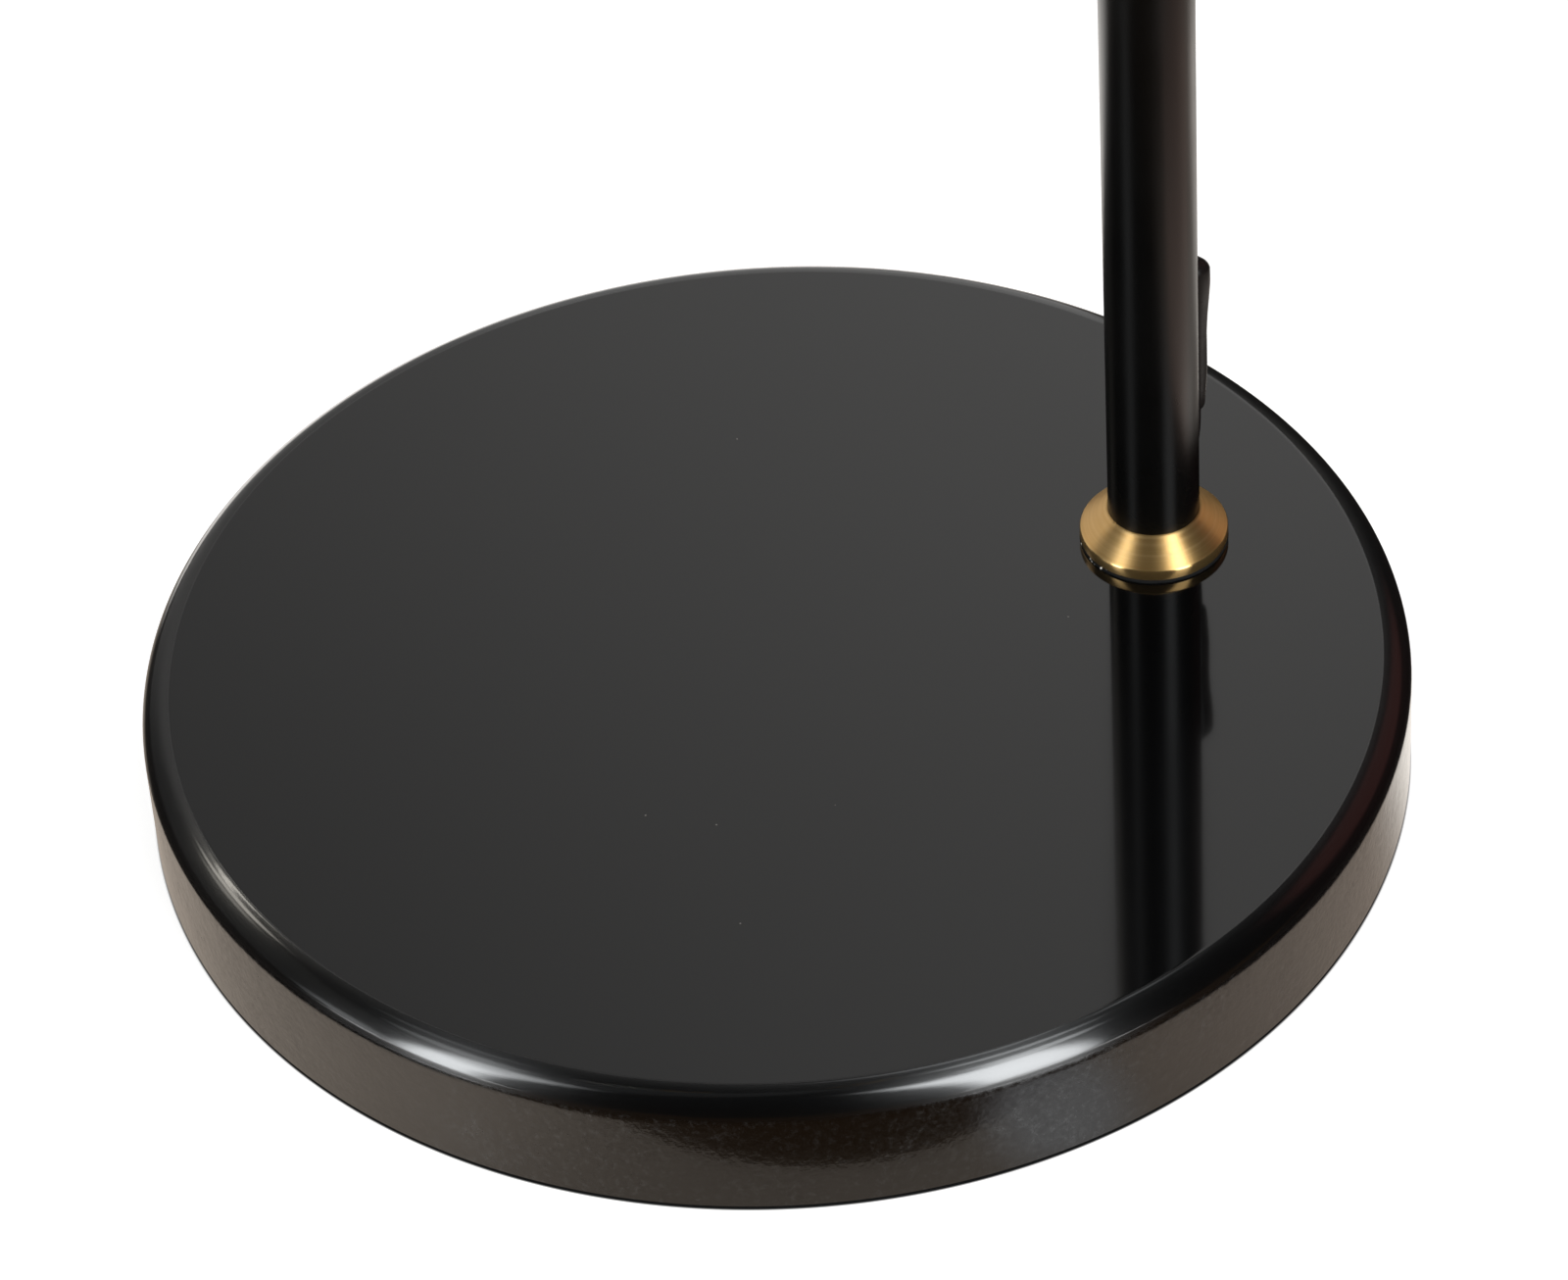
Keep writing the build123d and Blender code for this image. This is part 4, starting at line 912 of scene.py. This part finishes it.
def studio_world():
    """Two tall softboxes, a pale wall behind the lamp and a dark room; white to the camera."""
    world = bpy.data.worlds.new("studio")
    bpy.context.scene.world = world
    world.use_nodes = True
    nodes, links = world.node_tree.nodes, world.node_tree.links
    where = nodes.new("ShaderNodeTexCoord").outputs["Generated"]
    x, y, z = separate(world, where)
    azimuth = maths(world, "ARCTAN2", y, x)
    height = maths(world, "ARCSINE", z)
    level = maths(world, "COSINE", height)
    heading = vector_maths(world, "NORMALIZE", vector_maths(world, "MULTIPLY", where, (1, 1, 0)))
    seen = nodes.new("ShaderNodeLightPath").outputs

    def off(source, towards):
        """Angle between a direction and another one."""
        cosine = vector_maths(world, "DOT_PRODUCT", source, towards)
        return maths(world, "ARCCOSINE", maths(world, "MINIMUM", cosine, 0.999999))

    def beside(azimuth_at):
        """Angle sideways from an upright line at an azimuth."""
        return product(world, off(heading, direction(azimuth_at, 0)), level)

    def ramp(source, low, high, first, second):
        """Values over a range of angles in degrees."""
        return spread(world, source, math.radians(low), math.radians(high), first, second)

    def spot(azimuth_at, height_at, inner, outer, strength):
        """Round soft light."""
        return ramp(off(where, direction(azimuth_at, height_at)), inner, outer, strength, 0)

    wall = product(
        world, ramp(azimuth, 58, 61.5, 0, 1), ramp(azimuth, 64, 86, 0.57, 0.21),
        ramp(azimuth, 92, 122, 1, 0.22), ramp(height, 36, 46, 1.08, 0.76),
        ramp(height, 46.2, 49.5, 1, 0.03),
    )
    right = product(
        world, ramp(beside(-72.5), 6, 12.5, softbox_strength, 0),
        ramp(height, -12, 12, 0.1, 1), ramp(height, 53, 70, 1, 0),
    )
    left = product(
        world, ramp(beside(-167), 3, 10, softbox_strength, 0),
        ramp(height, -12, 6, 0.3, 1), ramp(height, 24, 46, 1, 0.5), ramp(height, 44, 62, 1, 0.02),
    )
    streak = total(
        world, spot(-46, 66, 3, 9, 2.6), spot(22, 74, 2, 7, 1.9), spot(62, 56, 2, 6, 0.9),
        spot(170, 58, 3, 10, 0.8), spot(123, 65, 2, 7, 0.3), spot(178, 4, 3, 14, 0.9),
    )
    from_slot = maths(world, "ABSOLUTE", maths(world, "SUBTRACT", height, math.radians(46.8)))
    slot = product(world, ramp(beside(97), 5, 9, 5.0, 0), ramp(from_slot, 0.3, 1.2, 1, 0))
    warm = total(world, slot, spot(115, 46, 2.5, 6.5, 3.0), spot(128, 40, 2, 7, 1.2))
    reddish = ramp(off(where, direction(12, 28)), 16, 27, 1, 0)

    light = vector_maths(world, "MULTIPLY", total(world, wall, 0.006), (1, 0.99, 0.975))
    for source, tint in (
        (total(world, right, left, streak), (0.95, 0.98, 1.0)), (warm, (1.0, 0.95, 0.85)),
        (reddish, (0.12, 0.042, 0.037)),
    ):
        light = vector_maths(world, "ADD", light, vector_maths(world, "MULTIPLY", source, tint))
    again = maths(world, "GREATER_THAN", seen["Glossy Depth"], 1.5)
    light = vector_maths(world, "MULTIPLY", light, spread(world, again, 0, 1, 1, 0.55))
    light = vector_maths(world, "MAXIMUM", light, seen["Is Camera Ray"])
    links.new(light, nodes["Background"].inputs["Color"])


def fill_lamp(name, place, size, power):
    """Big soft lamp overhead that fills the shade without a reflection of its own."""
    bpy.ops.object.light_add(type="AREA", location=place)
    lamp = bpy.context.object
    lamp.name = name
    lamp.data.size = size
    lamp.data.energy = power
    lamp.rotation_euler = (-lamp.location).to_track_quat("-Z", "Y").to_euler()
    lamp.visible_camera = False
    lamp.visible_glossy = False


def wash(name, place, ahead, width, height, power, colour, pieces):
    """Soft panel that lights some pieces and nothing else."""
    bpy.ops.object.light_add(type="AREA", location=place)
    lamp = bpy.context.object
    lamp.name = name
    lamp.data.shape = "RECTANGLE"
    lamp.data.size, lamp.data.size_y = width, height
    lamp.data.energy = power
    lamp.data.color = colour
    lamp.rotation_euler = ahead.to_track_quat("Z", "Y").to_euler()
    lamp.visible_camera = False
    lamp.light_linking.receiver_collection = pieces


painted_paper_reflection = (0.24, 0.203, 0.169)


def pale_floor():
    """Pale floor.  The camera sees it near white with the lamp's shadow; glossy rays see a painted
    reflection that
    shines by itself: a sheet of brown paper that ends in front of the foot and runs up to the pale wall
    behind."""
    bpy.ops.mesh.primitive_grid_add(x_subdivisions=8, y_subdivisions=8, size=80, location=(0, 0, 0))
    ground = bpy.context.object
    ground.name = "floor"
    material = bpy.data.materials.new("floor")
    material.use_nodes = True
    nodes, links = material.node_tree.nodes, material.node_tree.links
    shader = nodes["Principled BSDF"]
    shader.inputs["Roughness"].default_value = 0.95
    shader.inputs["Emission Color"].default_value = (1, 1, 1, 1)
    place = place_on(material)
    reach = reach_from(material, place)
    heading = vector_maths(material, "NORMALIZE", place)
    seen = nodes.new("ShaderNodeLightPath").outputs

    def ramp(source, low, high, first=0, second=1):
        return spread(material, source, low, high, first, second)

    def towards(azimuth, source=place):
        """How far a place lies towards an azimuth."""
        return vector_maths(material, "DOT_PRODUCT", source, direction(azimuth, 0))

    def both(first, second):
        return product(material, first, second)

    def either(first, second):
        return maths(material, "MAXIMUM", first, second)

    # Painted contact shadow: just round and under the foot's edge the floor is black and gives no white to
    # the camera.
    under = ramp(reach, foot_r - 0.2 * MM, foot_r + 0.4 * MM)
    straight = either(seen["Is Camera Ray"], seen["Is Transmission Ray"])
    plain = product(material, ramp(reach, 0.3, 2.0, 0.8, 0.97), under, straight)
    links.new(plain, shader.inputs["Emission Strength"])
    feed(material, "Base Color", blend_colours(material, under, (0.004, 0.004, 0.004), (0.42, 0.41, 0.4)))

    # Painted dark patches in the reflection, in front of and beside the foot.
    dim = both(ramp(reach, 0.18, 0.24), ramp(towards(-38, heading), 0.93, 0.985, 0.15, 1))
    ended = both(ramp(reach, 0.145, 0.205, 0, 0.9), ramp(towards(-35), 0.125, 0.16, 1, 0))
    right_white = both(ramp(towards(109), -0.121, -0.091), ramp(towards(25), 0.03, 0.084))
    kept = either(ramp(towards(109), -0.06, -0.03), ramp(reach, 0.16, 0.25, 1, 0.12))
    # Painted shadow on the floor just past the foot on the stem's side, seen only in reflections.
    shaded = reach_from(material, place_on(material, location=(-0.165, -0.03, 0)))
    back = both(ramp(towards(95), 0.12, 0.19), ramp(towards(90, heading), 0.72, 0.9))
    behind = both(ramp(towards(72), 0.2, 0.45), ramp(towards(85, heading), 0.84, 0.95))
    length = seen["Ray Length"]
    past_paper = both(
        ramp(length, 0.035, 0.044), ramp(maths(material, "SUBTRACT", length, reach), -0.078, -0.066, 1, 0)
    )
    sides = either(ramp(towards(-20), 0.06, 0.1), ramp(towards(180), 0.132, 0.152))
    front = both(ramp(towards(256), 0.1402, 0.1416), ramp(reach, 0.9, 2.0, 1, 0))
    # Painted highlight: a small grey-blue spot of softbox light on the floor in front of the foot, seen
    # only in reflections.
    shine = reach_from(material, place_on(material, location=(-0.013, 0.142, 0)))
    # Painted reflection, laid one on another from the lowest up: where each patch lies, and its colour.
    painted_reflection_patches = [
        (ramp(towards(180), 0.06, 0.14), (0.44, 0.378, 0.32)),
        (ramp(towards(-35), 0.06, 0.16, 0, 0.7), (0.45, 0.37, 0.31)),
        (dim, (0.06, 0.05, 0.042)),
        (ended, (0.012, 0.01, 0.009)),
        (both(right_white, kept), (1.0, 0.94, 0.87)),
        (ramp(shaded, 0.022, 0.042, 0.75, 0), (0.15, 0.12, 0.1)),
        (back, (1.7, 1.64, 1.57)),
        (ramp(reach, 0.32, 0.6), (0.06, 0.055, 0.05)),
        (behind, (0.9, 0.88, 0.87)),
        (both(past_paper, sides), (0.01, 0.008, 0.0075)),
        (front, (0.042, 0.023, 0.01)),
        (ramp(shine, 0.008, 0.024, 0.8, 0), (0.36, 0.365, 0.375)),
    ]
    # Far out, painted pools of the two softboxes' light.
    painted_reflection_patches += [
        (both(ramp(towards(azimuth, heading), 0.955, 0.99), ramp(reach, 0.3, 0.7)), (strength,) * 3)
        for azimuth, strength in ((-72, 2.0), (-167, 2.4))
    ]
    # The painted reflection's colour: paper, with each patch laid over it.
    sheet = painted_paper_reflection
    for share, colour in painted_reflection_patches:
        sheet = blend_colours(material, share, sheet, colour)
    painted_reflection_glow = nodes.new("ShaderNodeEmission")
    links.new(sheet, painted_reflection_glow.inputs["Color"])
    shown = nodes.new("ShaderNodeMixShader")
    links.new(seen["Is Glossy Ray"], shown.inputs[0])
    links.new(shader.outputs[0], shown.inputs[1])
    links.new(painted_reflection_glow.outputs[0], shown.inputs[2])
    links.new(shown.outputs[0], nodes["Material Output"].inputs["Surface"])
    ground.data.materials.append(material)


def is_brass(piece):
    """Whether a piece has a brass finish."""
    return piece.type == "MESH" and any(
        "brass" in holder.material.name for holder in piece.material_slots if holder.material
    )


def gather(name, pieces):
    """Collection of the pieces that a wash lights."""
    collection = bpy.data.collections.new(name)
    for piece in pieces:
        collection.objects.link(piece)
    return collection


def view_camera():
    """Camera at the view's angle: place, heading, pitch, roll and lens."""
    heading, pitch, roll = math.radians(71.07), math.radians(41.55), math.radians(-3.85)
    turn = Euler((math.pi / 2 - pitch, 0, heading - math.pi / 2)).to_matrix()
    turn = turn @ Matrix.Rotation(roll, 3, "Z")
    bpy.ops.object.camera_add(location=(-0.3074, -0.9031, 0.8760), rotation=turn.to_euler())
    camera = bpy.context.object
    camera.data.lens = 143.25
    camera.data.sensor_width = 36
    camera.data.clip_start = 0.05
    bpy.context.scene.camera = camera


studio_world()
fill_lamp("fill_front", (-0.6, -1.2, 2.3), 2.0, 22)
fill_lamp("fill_back", (0.9, 1.3, 2.3), 2.0, 14)
wash_distance = 1.5
brass_pieces = gather("brass_pieces", [piece for piece in bpy.context.scene.objects if is_brass(piece)])
for name, ahead, width, height, power, colour in (
    ("brass_wash_left", direction(118, 16), 1.7, 1.0, 4.0, (1.0, 0.97, 1.0)),
    ("brass_wash_right", direction(20, 14), 1.2, 0.8, 1.3, (1.0, 0.78, 0.62)),
):
    wash(name, stem_foot + ahead * wash_distance, ahead, width, height, power, colour, brass_pieces)
stem_pieces = gather("stem_pieces", [bpy.data.objects["lower_stem"]])
down = Vector((0, 0, -1))
wash("stem_wash_low", (0.22, -0.125, MM), down, 0.2, 0.19, 0.06, (1.0, 0.68, 0.58), stem_pieces)
wash("stem_wash_right", (0.285, 0.04, MM), down, 0.07, 0.09, 0.016, (1.0, 0.9, 0.84), stem_pieces)
pale_floor()
view_camera()

bpy.context.scene.view_settings.view_transform = "Standard"
